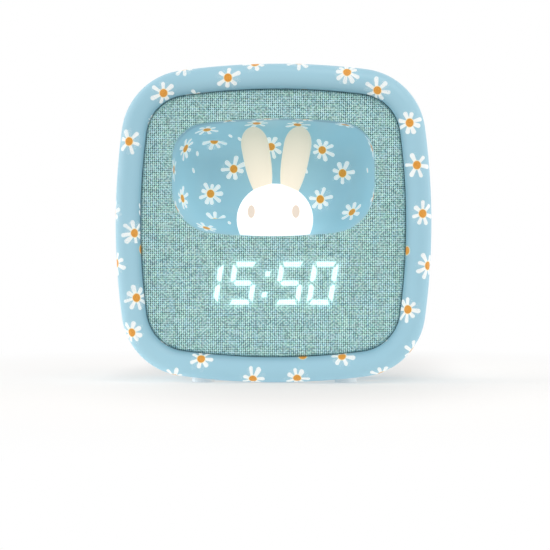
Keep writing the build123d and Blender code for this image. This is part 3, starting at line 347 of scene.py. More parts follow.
def printed(finish, ground):
    """Daisies over a ground colour: white petals round an orange disc with a pale ring.

    A seed draws each daisy. From LOWER_HALF on, each hundred of seeds is a kind that isn't whole.
    """
    across, up, reach = finish.parts(finish.stored("daisy"))
    seed = finish.stored("daisy_seed", "Fac")

    def kind(first):
        return seed.step(first - 1, first) * seed.step(first + 100, first + 99)

    hidden = kind(LOWER_HALF) * up.step(0.2, 0.35) + kind(UPPER_HALF) * up.step(1.35, 1.2)
    here = reach.step(PRINT_BORDER, PRINT_BORDER - 0.1) * (1 - hidden)
    away = (across * across + up * up).root()
    turn = (up.math("ARCTAN2", up, across) / (2 * math.pi) + finish.chance(seed, 3.0)).fract()
    count = (finish.chance(seed, 7.0) * PETALS_MORE + PETALS_LEAST).floor()
    petal = (turn * count).floor()
    lean = (finish.chance(seed, petal, 1.0) - 0.5) * 0.3
    angle = ((turn * count).fract() - 0.5 + lean) * (2 * math.pi) / count
    length = DAISY_REACH - finish.chance(seed, petal, 2.0) * PETAL_SHORTER
    half = finish.chance(seed, petal, 3.0) * PETAL_WIDER + PETAL_HALF_W
    along = away * angle.cosine()
    side = (away * angle.sine()).size()
    root = along.most(PETAL_ROOT).least(length - half)
    width = half * ((root - 1.0) / (length - 1.0) * 0.5 + 0.62)
    gap = ((along - root) * (along - root) + side * side).root() - width
    loose = seed.step(CRUMB - 1, CRUMB)
    bit = (across * across * 1.9 + up * up * 0.9 + across * up * 1.2).root()
    crumb = bit.step(CRUMB_R, CRUMB_R - 0.12) * here * loose
    petals = gap.step(0.06, -0.06) * here * (1 - loose) * (1 - kind(BARE_DISC)) + crumb
    egg = (across * across * 1.08 + up * up * 0.94).root()
    ring = egg.step(DISC_R + RING_OUT, DISC_R + 0.12) * here * (1 - loose)
    disc = egg.step(DISC_R + 0.05, DISC_R - 0.05) * here * (1 - loose)
    colour = petals.tint(ground, srgb(247, 251, 250))
    colour = (ring * 0.8).tint(colour, srgb(250, 238, 190))
    speckle = finish.noise(finish.spot(), 2600.0).step(0.35, 0.7)
    orange = speckle.tint(srgb(232, 160, 62), srgb(218, 146, 48))
    return disc.tint(colour, orange), petals.most(ring)


def moulded_print(name, pale, deep, painted_shade, lamp):
    """Satin ABS with a faint moulded grain and the printed daisies on it.

    It takes painted shade towards the cloth's edge, and a painted glow for the lamp's light low in the
    alcove.
    """
    finish = Finish(name)
    spot = finish.spot()
    ground = finish.noise(spot, 14.0, 2.0).step(0.3, 0.7).tint(pale, deep)
    # Painted shade: the ground turns to the shaded colour as the stored weight nears 1.
    near = finish.stored("painted_shade", "Fac")
    ground = (near * near * near).tint(ground, painted_shade)
    colour, ink = printed(finish, ground)
    grain = finish.noise(spot, 2400.0, 2.0)
    height = grain * 0.12 + ink * 0.5
    rough = finish.noise(spot, 90.0, 3.0).step(0.2, 0.8, 0.36, 0.44) + ink * 0.06
    _, y, z = finish.parts(spot)
    # Painted glow for the lamp's light: stronger low in the bowl and on the petals, fading out towards the
    # mouth.
    light = (z.step(91 * MM, 55 * MM, 0.11, 0.17) + ink * 0.08) * y.step(-21 * MM, -3 * MM) * lamp
    return finish.shell(base_color=colour, roughness=rough, normal=finish.bump(height, 0.02 * MM, 0.8),
                        ior=1.46, emission_color=light.tint(BLACK, colour), emission_strength=1.0)


def mark_daisies(mesh, centres):
    """Stores on each face's corners their place from the nearest daisy, in millimetres, and its seed."""
    count = len(mesh.vertices)
    tree = KDTree(count)
    for vertex in mesh.vertices:
        tree.insert(vertex.co, vertex.index)
    tree.balance()
    blooms, crumbs = KDTree(len(centres)), KDTree(len(centres))
    axes = []
    for number, (spot, seed) in enumerate(centres):
        _, nearest, _ = tree.find(spot)
        normal = mesh.vertices[nearest].normal
        upright = Vector((0, 0, 1)) if abs(normal.z) < 0.8 else Vector((0, 1, 0))
        east = upright.cross(normal).normalized()
        (crumbs if seed >= CRUMB else blooms).insert(spot, number)
        axes.append((east, normal.cross(east).normalized(), seed))
    blooms.balance()
    crumbs.balance()
    places, seeds = [], []
    for face in mesh.polygons:
        middle, number, away = crumbs.find(face.center)
        if middle is None or away > CRUMB_REACH * MM:
            middle, number, _ = blooms.find(face.center)
        east, north, seed = axes[number]
        for corner in face.vertices:
            offset = mesh.vertices[corner].co - middle
            flat = Vector((offset.dot(east), offset.dot(north)))
            flat *= offset.length / max(flat.length, 1e-7) / MM
            places += [flat.x, flat.y, offset.length / MM]
            seeds.append(float(seed))
    mesh.attributes.new("daisy", "FLOAT_VECTOR", "CORNER").data.foreach_set("vector", places)
    mesh.attributes.new("daisy_seed", "FLOAT", "CORNER").data.foreach_set("value", seeds)


def casing_section():
    """Inset from the outline and depth, once round the wall of the ring."""
    rim = arc((RIM_ROUND, RIM_ROUND_Y), (RIM_ROUND, RIM_ROUND), 180, 262, 16)
    slope = arc((SLOPE_INSET, SLOPE_Y), (SLOPE_ACROSS, SLOPE_DROP), 270, 360, 16)
    inside = [(SLOPE_INSET + SLOPE_ACROSS, LEDGE_Y), (LEDGE_INSET, LEDGE_Y), (LEDGE_INSET, LEDGE_BACK_Y),
              (RIM_SKIN_INSET, LEDGE_BACK_Y), (RIM_SKIN_INSET, RIM_ROUND_Y), SKIN_CREST,
              (WALL, SKIN_FOOT_Y), (WALL, LIP_Y), (WALL / 2, LIP_Y), (WALL / 2, SPLIT_Y), (REVEAL, SPLIT_Y)]
    side = run([(0.0, SPLIT_Y - REVEAL), rim[0]], 0.95)[:-1]
    return side + rim + run(slope, 0.7) + run(inside, 3.0)


def casing_mesh(finish):
    tree, sockets = round_tree()
    path = loop_object("casing outline", [tuple(p) for p, _ in casing_stations(0, CASING_PITCH)])
    section = loop_object("casing section", [(-inset, y) for inset, y in casing_section()])
    turn = path.modifiers.new("Moulding", "NODES")
    turn.node_group = tree
    turn[sockets["Section"]] = section
    turn[sockets["Finish"]] = finish
    bpy.context.view_layer.update()
    solid = path.evaluated_get(bpy.context.evaluated_depsgraph_get())
    mesh = bpy.data.meshes.new_from_object(solid)
    for helper in (path, section):
        bpy.data.objects.remove(helper)
    face_out(mesh)
    return mesh


def mark_rim_painted_shade(mesh):
    """Stores, for painted shade, how near each point of the rim's front lies to the cloth, from 0 to 1."""
    stations = casing_stations(0, CASING_PITCH)
    tree = KDTree(len(stations))
    for number, (point, _) in enumerate(stations):
        tree.insert((point.x, 0, point.y), number)
    tree.balance()
    near = []
    for vertex in mesh.vertices:
        spot = Vector((vertex.co.x, 0, vertex.co.z)) / MM
        inset = tree.find(spot)[2] if vertex.co.y < GROOVE_BACK_Y * MM else 0
        near.append(min(1, max(0, (inset - GROOVE_FROM) / (GROOVE_AT - GROOVE_FROM))))
    mesh.attributes.new("painted_shade", "FLOAT", "POINT").data.foreach_set("value", near)


# The rim's third colour is painted shade where it meets the cloth.
casing = casing_mesh(moulded_print("Printed blue ABS", srgb(164, 207, 223), srgb(159, 203, 220),
                                   srgb(136, 180, 198), 0.0))
mark_rim_painted_shade(casing)

CAMERA_AWAY = 0.70
CAMERA_TURN = math.radians(4.3)
CAMERA_AIM_X = -0.0009
CAMERA_Z = 0.0389
EYE = Vector((CAMERA_AIM_X + CAMERA_AWAY * math.sin(CAMERA_TURN),
              -CAMERA_AWAY * math.cos(CAMERA_TURN), CAMERA_Z))
PAST_EDGE = 2.8


def seen_on(mesh, places, plane_y):
    """Points of a mesh behind places (x, z) of an upright plane, seen from the viewer's eye.

    A place outside the outline falls on the wall, just out of sight round its edge.
    """
    tree = BVHTree.FromPolygons([v.co for v in mesh.vertices], [p.vertices for p in mesh.polygons])
    hits = []
    for x, z in places:
        way = Vector((x, plane_y, z)) * MM - EYE
        hit = tree.ray_cast(EYE, way.normalized())[0]
        hits.append(hit or tree.find_nearest(Vector((x, plane_y + PAST_EDGE, z)) * MM)[0])
    return hits


RIM_DAISIES = (
    (-39.2, 104.4), (-15.9, 109.8), (-6.1, 114.5), (9.6, 114.7), (26.9, 111.5), (37.7, 104.8), (49.2, 93.2),
    (51.8, 78.1), (53.9, 60.8), (55.7, 42.2), (48.5, 26.6), (25.1, 9.8), (9.0, 1.9), (-6.9, 1.6),
    (-25.6, 8.8), (-50.8, 18.1), (-49.0, 30.7), (-49.7, 54.0), (-51.8, 87.1), (-58.7, 61.3), (-32.2, 115.5),
    (-42.6, 94.0), (-26.9, 104.0), (-36.8, 15.6), (39.6, 16.6), (51.5, 10.6), (39.4, 2.8), (-56.1, 43.2),
    (-35.6, 2.0))
BARE_DISCS = ((11.5, 105.4), (-47.6, 48.2), (48.2, 47.6), (11.0, 9.5))
RIM_CRUMBS = ((-47.95, 63.8), (-47.95, 61.3))
RIM_FIRST_SEED = 10
SIDE_FIRST_SEED = 100
SIDE_GAP = 12.4
SIDE_FRONT_Y = -22.0
SIDE_BACK_Y = 7.6
SIDE_TRIES = 4000
SIDE_DRAW = 11


def side_daisies(mesh, centres):
    """Daisies strewn round the sides, each clear of those before it."""
    draw = random.Random(SIDE_DRAW)
    middle = Vector((0, 0, CASING_MID_Z * MM))
    band = [v for v in mesh.vertices if SIDE_FRONT_Y * MM < v.co.y < SIDE_BACK_Y * MM
            and v.normal.y ** 2 < 0.2 and (v.co - middle).dot(v.normal) > 30 * MM]
    chosen = [spot for spot, _ in centres]
    for vertex in draw.sample(band, SIDE_TRIES):
        if all((vertex.co - other).length > SIDE_GAP * MM for other in chosen):
            chosen.append(vertex.co.copy())
            centres.append((chosen[-1], SIDE_FIRST_SEED + len(chosen)))
    return centres


def seeded(spots, first):
    """Each place with a seed of its own, counted up from the first."""
    return [(spot, first + k) for k, spot in enumerate(spots)]


blooms = side_daisies(casing, seeded(seen_on(casing, RIM_DAISIES, -26.0), RIM_FIRST_SEED))
blooms += seeded(seen_on(casing, BARE_DISCS, -25.0), BARE_DISC)
blooms += seeded(seen_on(casing, RIM_CRUMBS, -25.0), CRUMB)
mark_daisies(casing, blooms)
soften(casing, 40)
place("front_casing_printed", casing, "housing", "casing", "front_casing")


# ---- Cloth and its baffle ----
# Coarse plain-woven polyester in mint and aqua yarns with painted shade between them, stretched over a
# moulded baffle. It rolls back round the baffle's edge and turns in through the alcove's opening.

CLOTH_Y = -24.0
CLOTH_T = 0.6
CLOTH_INSET = 9.12
CLOTH_ROLL = 1.1
CLOTH_TURN = 0.5
CLOTH_EDGE_DEPTH = 3.5
CLOTH_TURN_DEPTH = 2.6
WARP_PITCH = 0.75
WEFT_PITCH = 0.666
ALCOVE_HALF_W = 36.75
ALCOVE_HALF_H = 21.3
ALCOVE_MID_Z = 74.1
ALCOVE_BOW = 200.0
ALCOVE_TOP_R = 12.61
ALCOVE_LOW_R = 16.0
DIGIT_X = (-23.32, -10.72, 6.18, 18.05)
DIGIT_Z = 35.97
DIGIT_HALF_W = 3.76
DIGIT_HALF_H = 6.83
DIGIT_BAR = 2.0
DIGIT_SLANT = math.tan(math.radians(9.2))
COLON_X = -2.27
COLON_HALF_H = 3.75
COLON_DROP = 0.4
TIME_SHOWN = "1550"
LIT_BARS = {"0": "abcdef", "1": "bc", "5": "acdfg"}
UNLIT = 9.0
LIT_MID_X = -2.6
LIT_HALF_W = 36
LIT_HALF_H = 14
GLOW_LEFT, GLOW_RIGHT, GLOW_LOW, GLOW_HIGH = -31.0, 26.0, 26.0, 46.0
COARSE_PITCH = 1.6
FINE_PITCH = 0.42
PANEL_REACH = 50.0
PANEL_LOW = 8.0


def alcove_stations(inset, pitch):
    return outline_stations(ALCOVE_HALF_W - inset, ALCOVE_HALF_H - inset, ALCOVE_BOW - inset,
                            ALCOVE_TOP_R - inset, ALCOVE_LOW_R - inset, ALCOVE_MID_Z, pitch)


def bar_shapes():
    """Outline of each bar of an upright digit, by its usual letter, turning one way."""
    w, h, t = DIGIT_HALF_W, DIGIT_HALF_H, DIGIT_BAR / 2
    top = [(-w, h + t), (w, h + t), (w - 0.8, h - t), (0.8 - w, h - t)]
    upright = [(w + t, h + 0.35), (w + t, 0.7), (w, 0.4), (w - t, 1.35), (w - t, h - t - 0.7)]
    middle = [(0.25 - w, 0), (1.2 - w, t), (w - 1.2, t), (w - 0.25, 0), (w - 1.2, -t), (1.2 - w, -t)]

    def flip(points, sx, sz):
        return [(sx * x, sz * z) for x, z in (points if sx * sz > 0 else points[::-1])]

    return {"a": top, "b": upright, "c": flip(upright, 1, -1), "d": flip(top, 1, -1),
            "e": flip(upright, -1, -1), "f": flip(upright, -1, 1), "g": middle}


def lit_shapes():
    """Every lit bar and both colon dots, upright, about the digits' middle line."""
    shapes = []
    for middle, digit in zip(DIGIT_X, TIME_SHOWN):
        shapes += [[(middle + x, z) for x, z in bar_shapes()[letter]] for letter in LIT_BARS[digit]]
    half = DIGIT_BAR / 2
    for side in (-1, 1):
        z = side * COLON_HALF_H - COLON_DROP
        shapes.append([(COLON_X + sx * half, z + sz * half)
                       for sx, sz in ((-1, 1), (1, 1), (1, -1), (-1, -1))])
    return [[Vector(p) for p in shape] for shape in shapes]


def shape_distance(shape, point):
    """Distance from a clockwise convex outline, less than nothing inside it."""
    inside, nearest = True, 1e9
    for a, b in zip(shape, shape[1:] + shape[:1]):
        edge = b - a
        share = min(1, max(0, (point - a).dot(edge) / edge.length_squared))
        nearest = min(nearest, (point - a - share * edge).length)
        inside = inside and edge.cross(point - a) < 0
    return -nearest if inside else nearest


def light_distance(shapes, x, z):
    """Distance from the nearest lit bar, in millimetres, as far as it can matter."""
    if abs(z - DIGIT_Z) > LIT_HALF_H or abs(x - LIT_MID_X) > LIT_HALF_W:
        return UNLIT
    point = Vector((x - (z - DIGIT_Z) * DIGIT_SLANT, z - DIGIT_Z))
    return min(UNLIT, min(shape_distance(shape, point) for shape in shapes))


def inside_loop(loop, x, z):
    hit = False
    for a, b in zip(loop, loop[1:] + loop[:1]):
        if (a.y > z) != (b.y > z) and x < (b.x - a.x) * (z - a.y) / (b.y - a.y) + a.x:
            hit = not hit
    return hit


def cloth_front(outer, inner):
    """Triangles over the flat of the cloth, finest where the digits shine through."""
    points = list(outer) + list(inner)
    edges = [(k, (k + 1) % len(outer)) for k in range(len(outer))]
    edges += [(len(outer) + k, len(outer) + (k + 1) % len(inner)) for k in range(len(inner))]

    def clear(x, z):
        """Whether a point keeps off both edges, so that no sliver lies along them."""
        return (inside_loop(outer[::2], x * 1.012, CASING_MID_Z + (z - CASING_MID_Z) * 1.012)
                and not inside_loop(inner[::2], x * 0.98, ALCOVE_MID_Z + (z - ALCOVE_MID_Z) * 0.97))

    for pitch, fine in ((COARSE_PITCH, False), (FINE_PITCH, True)):
        for column in range(int(2 * PANEL_REACH / pitch)):
            for row in range(int(2 * PANEL_REACH / pitch)):
                x, z = column * pitch + (row % 2) * pitch / 2 - PANEL_REACH, PANEL_LOW + row * pitch
                within = GLOW_LEFT < x < GLOW_RIGHT and GLOW_LOW < z < GLOW_HIGH
                if within == fine and (fine or clear(x, z)):
                    points.append(Vector((x, z)))
    flat, _, faces, *_ = delaunay_2d_cdt(points, edges, [], 0, 1e-5)
    kept = []
    for face in faces:
        middle = sum((flat[k] for k in face), Vector((0, 0))) / len(face)
        if inside_loop(outer, *middle) and not inside_loop(inner, *middle):
            kept.append(face)
    return flat, kept


def cloth_mesh():
    """The cloth's face, with its edge and its turned-in opening carried on from it."""
    edge = casing_stations(CLOTH_INSET + CLOTH_ROLL, 0.9)
    opening = alcove_stations(-CLOTH_TURN, 0.9)
    flat, faces = cloth_front([p for p, _ in edge], [p for p, _ in opening])
    spots = [(p.x, CLOTH_Y, p.y) for p in flat]
    weave = [(p.x, p.y, 0) for p in flat]
    faces = [tuple(f) for f in faces]

    def band(stations, rows, way):
        """Rows of faces that carry on from the flat; each row is (outwards, depth, length of cloth)."""
        first = len(spots)
        for outwards, depth, spent in rows:
            for point, out in stations:
                spots.append((point.x + out.x * outwards, CLOTH_Y + depth, point.y + out.y * outwards))
                weave.append((point.x + way * out.x * spent, point.y + way * out.y * spent, 0))
        around = len(stations)
        for row in range(len(rows) - 1):
            for k in range(around):
                a, b = first + row * around + k, first + row * around + (k + 1) % around
                faces.append((b, a, a + around, b + around) if way > 0 else (a, b, b + around, a + around))

    def roll(radius, steps, depth, way):
        rows = []
        for step in range(steps + 1):
            turn = math.pi / 2 * step / steps
            rows.append((way * radius * math.sin(turn), radius * (1 - math.cos(turn)), radius * turn))
        spent = radius * math.pi / 2 + depth - radius
        return rows + [(way * radius, depth, spent)]

    band(edge, roll(CLOTH_ROLL, 6, CLOTH_EDGE_DEPTH, 1), 1)
    band(opening, roll(CLOTH_TURN, 4, CLOTH_TURN_DEPTH, -1), -1)
    mesh = bpy.data.meshes.new("cloth")
    mesh.from_pydata([[c * MM for c in spot] for spot in spots], [], faces)
    shapes = lit_shapes()
    lit = [light_distance(shapes, x, z) if abs(y - CLOTH_Y) < 0.01 else UNLIT for x, y, z in spots]
    threads = [c for place_in_cloth in weave for c in place_in_cloth]
    mesh.attributes.new("weave", "FLOAT_VECTOR", "POINT").data.foreach_set("vector", threads)
    mesh.attributes.new("lit", "FLOAT", "POINT").data.foreach_set("value", lit)
    work = bmesh.new()
    work.from_mesh(mesh)
    bmesh.ops.remove_doubles(work, verts=work.verts, dist=1e-6)
    work.to_mesh(mesh)
    work.free()
    return mesh


def woven(name):
    """Plain weave: uneven yarns over and under each other, with painted shade in the gaps, and a painted glow
    where bars light it from behind.
    """
    finish = Finish(name)
    x, z, _ = finish.parts(finish.stored("weave"))
    sway = finish.noise(finish.triple(x, z, 0.0), 0.16, 2.0) - 0.5
    sway_b = finish.noise(finish.triple(x, z, 40.0), 0.16, 2.0) - 0.5
    warp = x / WARP_PITCH + sway * 0.45 + 200.0
    weft = z / WEFT_PITCH + sway_b * 0.45 + 200.0
    warp_no, weft_no = warp.floor(), weft.floor()
    a, b = warp.fract() - 0.5, weft.fract() - 0.5
    over = ((warp_no + weft_no) * 0.5).fract() * 4 - 1
    fat_a = finish.noise(finish.triple(warp_no * 3.7, weft * 0.45, 0.0), 1.0) * 0.4 + 0.42
    fat_b = finish.noise(finish.triple(warp * 0.45, weft_no * 3.7, 9.0), 1.0) * 0.4 + 0.42
    swell_a = (b * math.pi).cosine() * over
    swell_b = (a * math.pi).cosine() * over
    rise_a = (1.0 - (a * 2 / fat_a) * (a * 2 / fat_a)).most(-0.6) + swell_a * 0.3
    rise_b = (1.0 - (b * 2 / fat_b) * (b * 2 / fat_b)).most(-0.6) - swell_b * 0.3
    top = (rise_a - rise_b).step(-0.06, 0.06)
    height = rise_a.most(rise_b)
    hole = finish.chance((warp + 0.5).floor(), (weft + 0.5).floor(), 2.0) - 0.5
    tone_a = finish.noise(finish.triple(warp_no * 5.1, weft * 0.4, 3.0), 1.0, 1.0)
    tone_b = finish.noise(finish.triple(warp * 0.4, weft_no * 5.1, 6.0), 1.0, 1.0)
    tone = (top * tone_a + (1 - top) * tone_b) * 0.5 + (finish.chance(warp_no, weft_no, 5.0) - 0.5) * 0.3
    # Painted shading: crossings where the warp lies over are lighter, the others darker.
    tone = tone + over * 0.13 + 0.27
    hue_a = finish.noise(finish.triple(warp_no * 2.3, weft * 0.06, 70.0), 1.0, 1.0)
    hue_b = finish.noise(finish.triple(warp * 0.06, weft_no * 2.3, 80.0), 1.0, 1.0)
    hue = top * hue_a + (1 - top) * hue_b
    bright = hue.step(0.35, 0.65).tint(srgb(218, 253, 244), srgb(212, 248, 254))
    dull = hue.step(0.35, 0.65).tint(srgb(172, 229, 218), srgb(166, 222, 230))
    yarn = tone.step(0.3, 0.7).tint(dull, bright)
    # Painted shade: dark in the gaps and along the yarns' rounded edges, by the weave's height.
    gap = (height + hole * 0.7).step(0.05, 0.85)
    lit = finish.stored("lit", "Fac")
    core = lit.step(0.14, -0.26)
    # The dark colour is the painted shade in the gaps.
    colour = gap.tint(srgb(12, 68, 78), yarn)
    # Painted light of the bars behind: a paler yarn colour here, then a glow with a soft halo.
    colour = (core * 0.6).tint(colour, srgb(160, 214, 216))
    halo = lit.step(3.6, -0.4)
    threads = gap * 0.15 + 0.85
    glow = core * threads + halo * halo * 0.26 * (1 - core)
    shine = core.tint(srgb(184, 228, 230), srgb(236, 249, 246))
    light_out = glow.tint(BLACK, shine)
    fuzz = finish.noise(finish.spot(), 5200.0, 2.0)
    relief = finish.bump(height + fuzz * 0.15, 0.16 * MM, 0.9)
    return finish.shell(base_color=colour, roughness=0.92, normal=relief, sheen_weight=0.1,
                        sheen_roughness=0.5, specular_ior_level=0.1, emission_color=light_out,
                        emission_strength=0.8)


def thickened(sheet):
    """A sheet's mesh with the cloth's thickness behind its face."""
    skin = bpy.data.objects.new("cloth", sheet)
    bpy.context.scene.collection.objects.link(skin)
    thick = skin.modifiers.new("Cloth's thickness", "SOLIDIFY")
    thick.thickness = CLOTH_T * MM
    thick.offset = -1
    bpy.context.view_layer.update()
    solid = bpy.data.meshes.new_from_object(skin.evaluated_get(bpy.context.evaluated_depsgraph_get()))
    bpy.data.objects.remove(skin)
    face_out(solid)
    return solid


def moulding(name, pale, deep, rough, grain, depth, **more):
    """Moulded plastic or rubber: two close tones, a fine grain and uneven gloss."""
    finish = Finish(name)
    spot = finish.spot()
    colour = finish.noise(spot, 60.0, 3.0).step(0.3, 0.7).tint(pale, deep)
    gloss = finish.noise(spot, 300.0, 3.0).step(0.25, 0.75, rough - 0.05, rough + 0.05)
    relief = finish.bump(finish.noise(spot, grain, 2.0), depth * MM, 0.7)
    return finish.shell(base_color=colour, roughness=gloss, normal=relief, **more)


def dress(finish, *names):
    """Gives CAD nodes a finish."""
    for name in names:
        node = nodes[name]
        if not node.material_slots:
            node.data.materials.append(finish)
        for slot in node.material_slots:
            slot.material = finish


face = cloth_mesh()
cloth = thickened(face)
cloth.materials.clear()
cloth.materials.append(woven("Mint woven polyester"))
soften(cloth, 50)
cloth_piece = place("front_cloth", cloth, "housing", "cloth", "fabric_cover")
slate_abs = moulding("Slate ABS", srgb(88, 102, 106), srgb(80, 94, 98), 0.5, 1900.0, 0.02)
dress(slate_abs, "front_baffle")


# ---- Alcove ----
# A drawn bowl of the same printed ABS behind the opening, with a flange that screws to the baffle.

BOWL_BACK_Y = 2.0
BOWL_FRONT_Y = -21.4
BOWL_LIP_Y = -18.4
BOWL_ROUND = 11.9
BOWL_EASE = 0.2
BOWL_T = 1.6
FLANGE_OUT = 3.1
FLANGE_BACK_Y = -20.0
BACK_RINGS = 24
SHADE_LOW = 80.0
SHADE_OVER = 10.0
SHADE_BACK_Y = -14.0
SHADE_DEPTH = 4.0


def bowl_profile(grow, steps):
    """Inset and depth from the bowl's mouth to the start of its flat back."""
    radii = (BOWL_ROUND + grow, BOWL_BACK_Y - BOWL_LIP_Y + grow)
    bend = arc((BOWL_ROUND + BOWL_EASE, BOWL_LIP_Y), radii, 180, 90, steps)
    return run([(-grow, BOWL_FRONT_Y), bend[0]], 1.0)[:-1] + bend


def rings_mesh(name, rings, close):
    """Skin over rings of equal count; close says whether each end shrinks to a point."""
    around = len(rings[0])
    spots = [spot for ring in rings for spot in ring]
    faces = []
    for row in range(len(rings) - 1):
        for k in range(around):
            a, b = row * around + k, row * around + (k + 1) % around
            faces.append((a, b, b + around, a + around))
    for ring, end in zip((0, len(rings) - 1), close):
        if end:
            spots.append(end)
            first = ring * around
            for k in range(around):
                face = (len(spots) - 1, first + k, first + (k + 1) % around)
                faces.append(face if ring else face[::-1])
    mesh = bpy.data.meshes.new(name)
    mesh.from_pydata([[c * MM for c in spot] for spot in spots], [], faces)
    face_out(mesh)
    return mesh


def bowl_mesh():
    """The bowl from the middle of its back out over the flange and back behind it."""
    stations = alcove_stations(0, 0.8)

    def ring(inset, y, share=1.0):
        return [((p.x - o.x * inset) * share, y, ALCOVE_MID_Z + (p.y - o.y * inset - ALCOVE_MID_Z) * share)
                for p, o in stations]

    inner, outer = bowl_profile(0, 28), bowl_profile(BOWL_T, 14)
    rings = [ring(*inner[-1], k / BACK_RINGS) for k in range(1, BACK_RINGS)]
    rings += [ring(*spot) for spot in reversed(inner)]
    rings += [ring(-FLANGE_OUT, BOWL_FRONT_Y), ring(-FLANGE_OUT, FLANGE_BACK_Y), ring(-BOWL_T, FLANGE_BACK_Y)]
    rings += [ring(*spot) for spot in outer if spot[1] > FLANGE_BACK_Y + 0.1]
    rings += [ring(*outer[-1], share) for share in (0.6, 0.3)]
    return rings_mesh("bowl", rings, [(0, spots[-1][1], ALCOVE_MID_Z) for spots in (inner, outer)])


def mark_shade(mesh):
    """Stores, for painted shade, how near each point is to the top of the bowl's mouth, from 0 to 1."""
    near = []
    for vertex in mesh.vertices:
        _, y, z = vertex.co / MM
        high, forward = (z - SHADE_LOW) / SHADE_OVER, (SHADE_BACK_Y - y) / SHADE_DEPTH
        near.append(min(1, max(0, high)) * min(1, max(0, forward)))
    mesh.attributes.new("painted_shade", "FLOAT", "POINT").data.foreach_set("value", near)


def metal(name, pale, deep, rough):
    """Plated or drawn metal with fine streaks."""
    finish = Finish(name)
    x, y, z = finish.parts(finish.spot())
    streak = finish.noise(finish.triple(x, y * 0.1, z), 3000.0, 3.0)
    gloss = streak.step(0.3, 0.7, rough - 0.08, rough + 0.08)
    return finish.shell(base_color=streak.tint(pale, deep), roughness=gloss, metallic=1.0,
                        normal=finish.bump(streak, 0.005 * MM, 0.5))


BACK_DAISIES = (
    (-23.7, 91.3), (-31.5, 84.6), (-5.7, 93.5), (9.0, 92.9), (26.2, 92.8), (-14.0, 77.1), (-22.4, 68.2),
    (-32.6, 66.5), (-0.5, 85.1), (17.9, 83.8), (25.2, 75.4), (17.2, 66.1), (28.6, 61.4), (-23.9, 55.8),
    (35.7, 84.6), (36.2, 66.6), (-35.7, 77.0), (-35.0, 62.8), (-16.1, 95.1), (-2.0, 95.9), (12.1, 95.9))
BACK_CUT_DAISIES = (((-21.1, 87.2), LOWER_HALF), ((-20.7, 58.4), UPPER_HALF))
BACK_CRUMBS = (
    (-15.2, 89.0), (-11.9, 87.9), (-27.2, 82.7), (-28.6, 76.6), (-15.6, 57.7), (34.1, 76.4), (12.1, 76.3),
    (-31.9, 90.6))
BACK_FIRST_SEED = 300

bowl = bowl_mesh()
marks = seeded(seen_on(bowl, BACK_DAISIES, CLOTH_Y), BACK_FIRST_SEED)
marks += [(seen_on(bowl, [spot], CLOTH_Y)[0], seed) for spot, seed in BACK_CUT_DAISIES]
marks += seeded(seen_on(bowl, BACK_CRUMBS, CLOTH_Y), CRUMB)
mark_daisies(bowl, marks)
mark_shade(bowl)
# The bowl's third colour is painted shade under the top of its mouth; the last argument turns on a painted
# glow.
bowl.materials.append(moulded_print("Printed blue ABS of the alcove", srgb(163, 208, 223),
                                    srgb(160, 205, 220), srgb(134, 178, 196), 1.0))
soften(bowl, 40)
place("alcove_bowl", bowl, "housing", "bowl", "alcove_liner")
zinc = metal("Zinc-plated steel", srgb(196, 198, 202), srgb(170, 173, 178), 0.32)
dress(zinc, "liner_screws")


# ---- Bunny lamp ----
# A hollow dome and two flattened ears in translucent silicone, lit from a small board below the
# alcove's floor. Two beige ovals are set in the dome as eyes.

HEAD_Y = -12.5
EAR_X = 4.75
EAR_SHIFT = 0.5
EAR_ROOT_Z = 69.0
EAR_LENGTH = 24.5
EAR_ROOT_R = 2.9
EAR_WIDE_R = 5.03
EAR_WIDE_AT = 0.72
EAR_FLAT = 0.55
EAR_TILT = math.radians(10.1)
EAR_AROUND = 64
EAR_BODY = 0.8
EAR_BODY_RINGS = 26
EAR_TIP_RINGS = 16
GLOW_TOP_Z = 92
GLOW_ROOT_Z = 68


def silicone(name, pale, deep, glow, painted_glow_low=None):
    """Translucent silicone lit from within: an even glow, or a painted glow that brightens nearer to the
    lamp.
    """
    finish = Finish(name)
    spot = finish.spot()
    if painted_glow_low:
        # Painted glow: brighter low down near the lit dome, dimmer towards the top.
        glow = finish.parts(spot)[2].step(GLOW_TOP_Z * MM, GLOW_ROOT_Z * MM).tint(glow, painted_glow_low)
    colour = finish.noise(spot, 60.0, 3.0).tint(pale, deep)
    mist = finish.noise(spot, 1500.0, 2.0)
    return finish.shell(base_color=colour, roughness=mist.step(0.3, 0.7, 0.5, 0.6), emission_color=glow,
                        emission_strength=1.0, normal=finish.bump(mist, 0.01 * MM, 0.5))


def ear_width(share):
    """Half width of an ear at a share of its length."""
    if share > EAR_WIDE_AT:
        return EAR_WIDE_R * math.sqrt(max(0, 1 - ((share - EAR_WIDE_AT) / (1 - EAR_WIDE_AT)) ** 2))
    t = share / EAR_WIDE_AT
    slope = 0.35 * EAR_WIDE_AT * EAR_LENGTH
    return ((2 * t ** 3 - 3 * t ** 2 + 1) * EAR_ROOT_R + (t ** 3 - 2 * t ** 2 + t) * slope
            + (3 * t ** 2 - 2 * t ** 3) * EAR_WIDE_R)


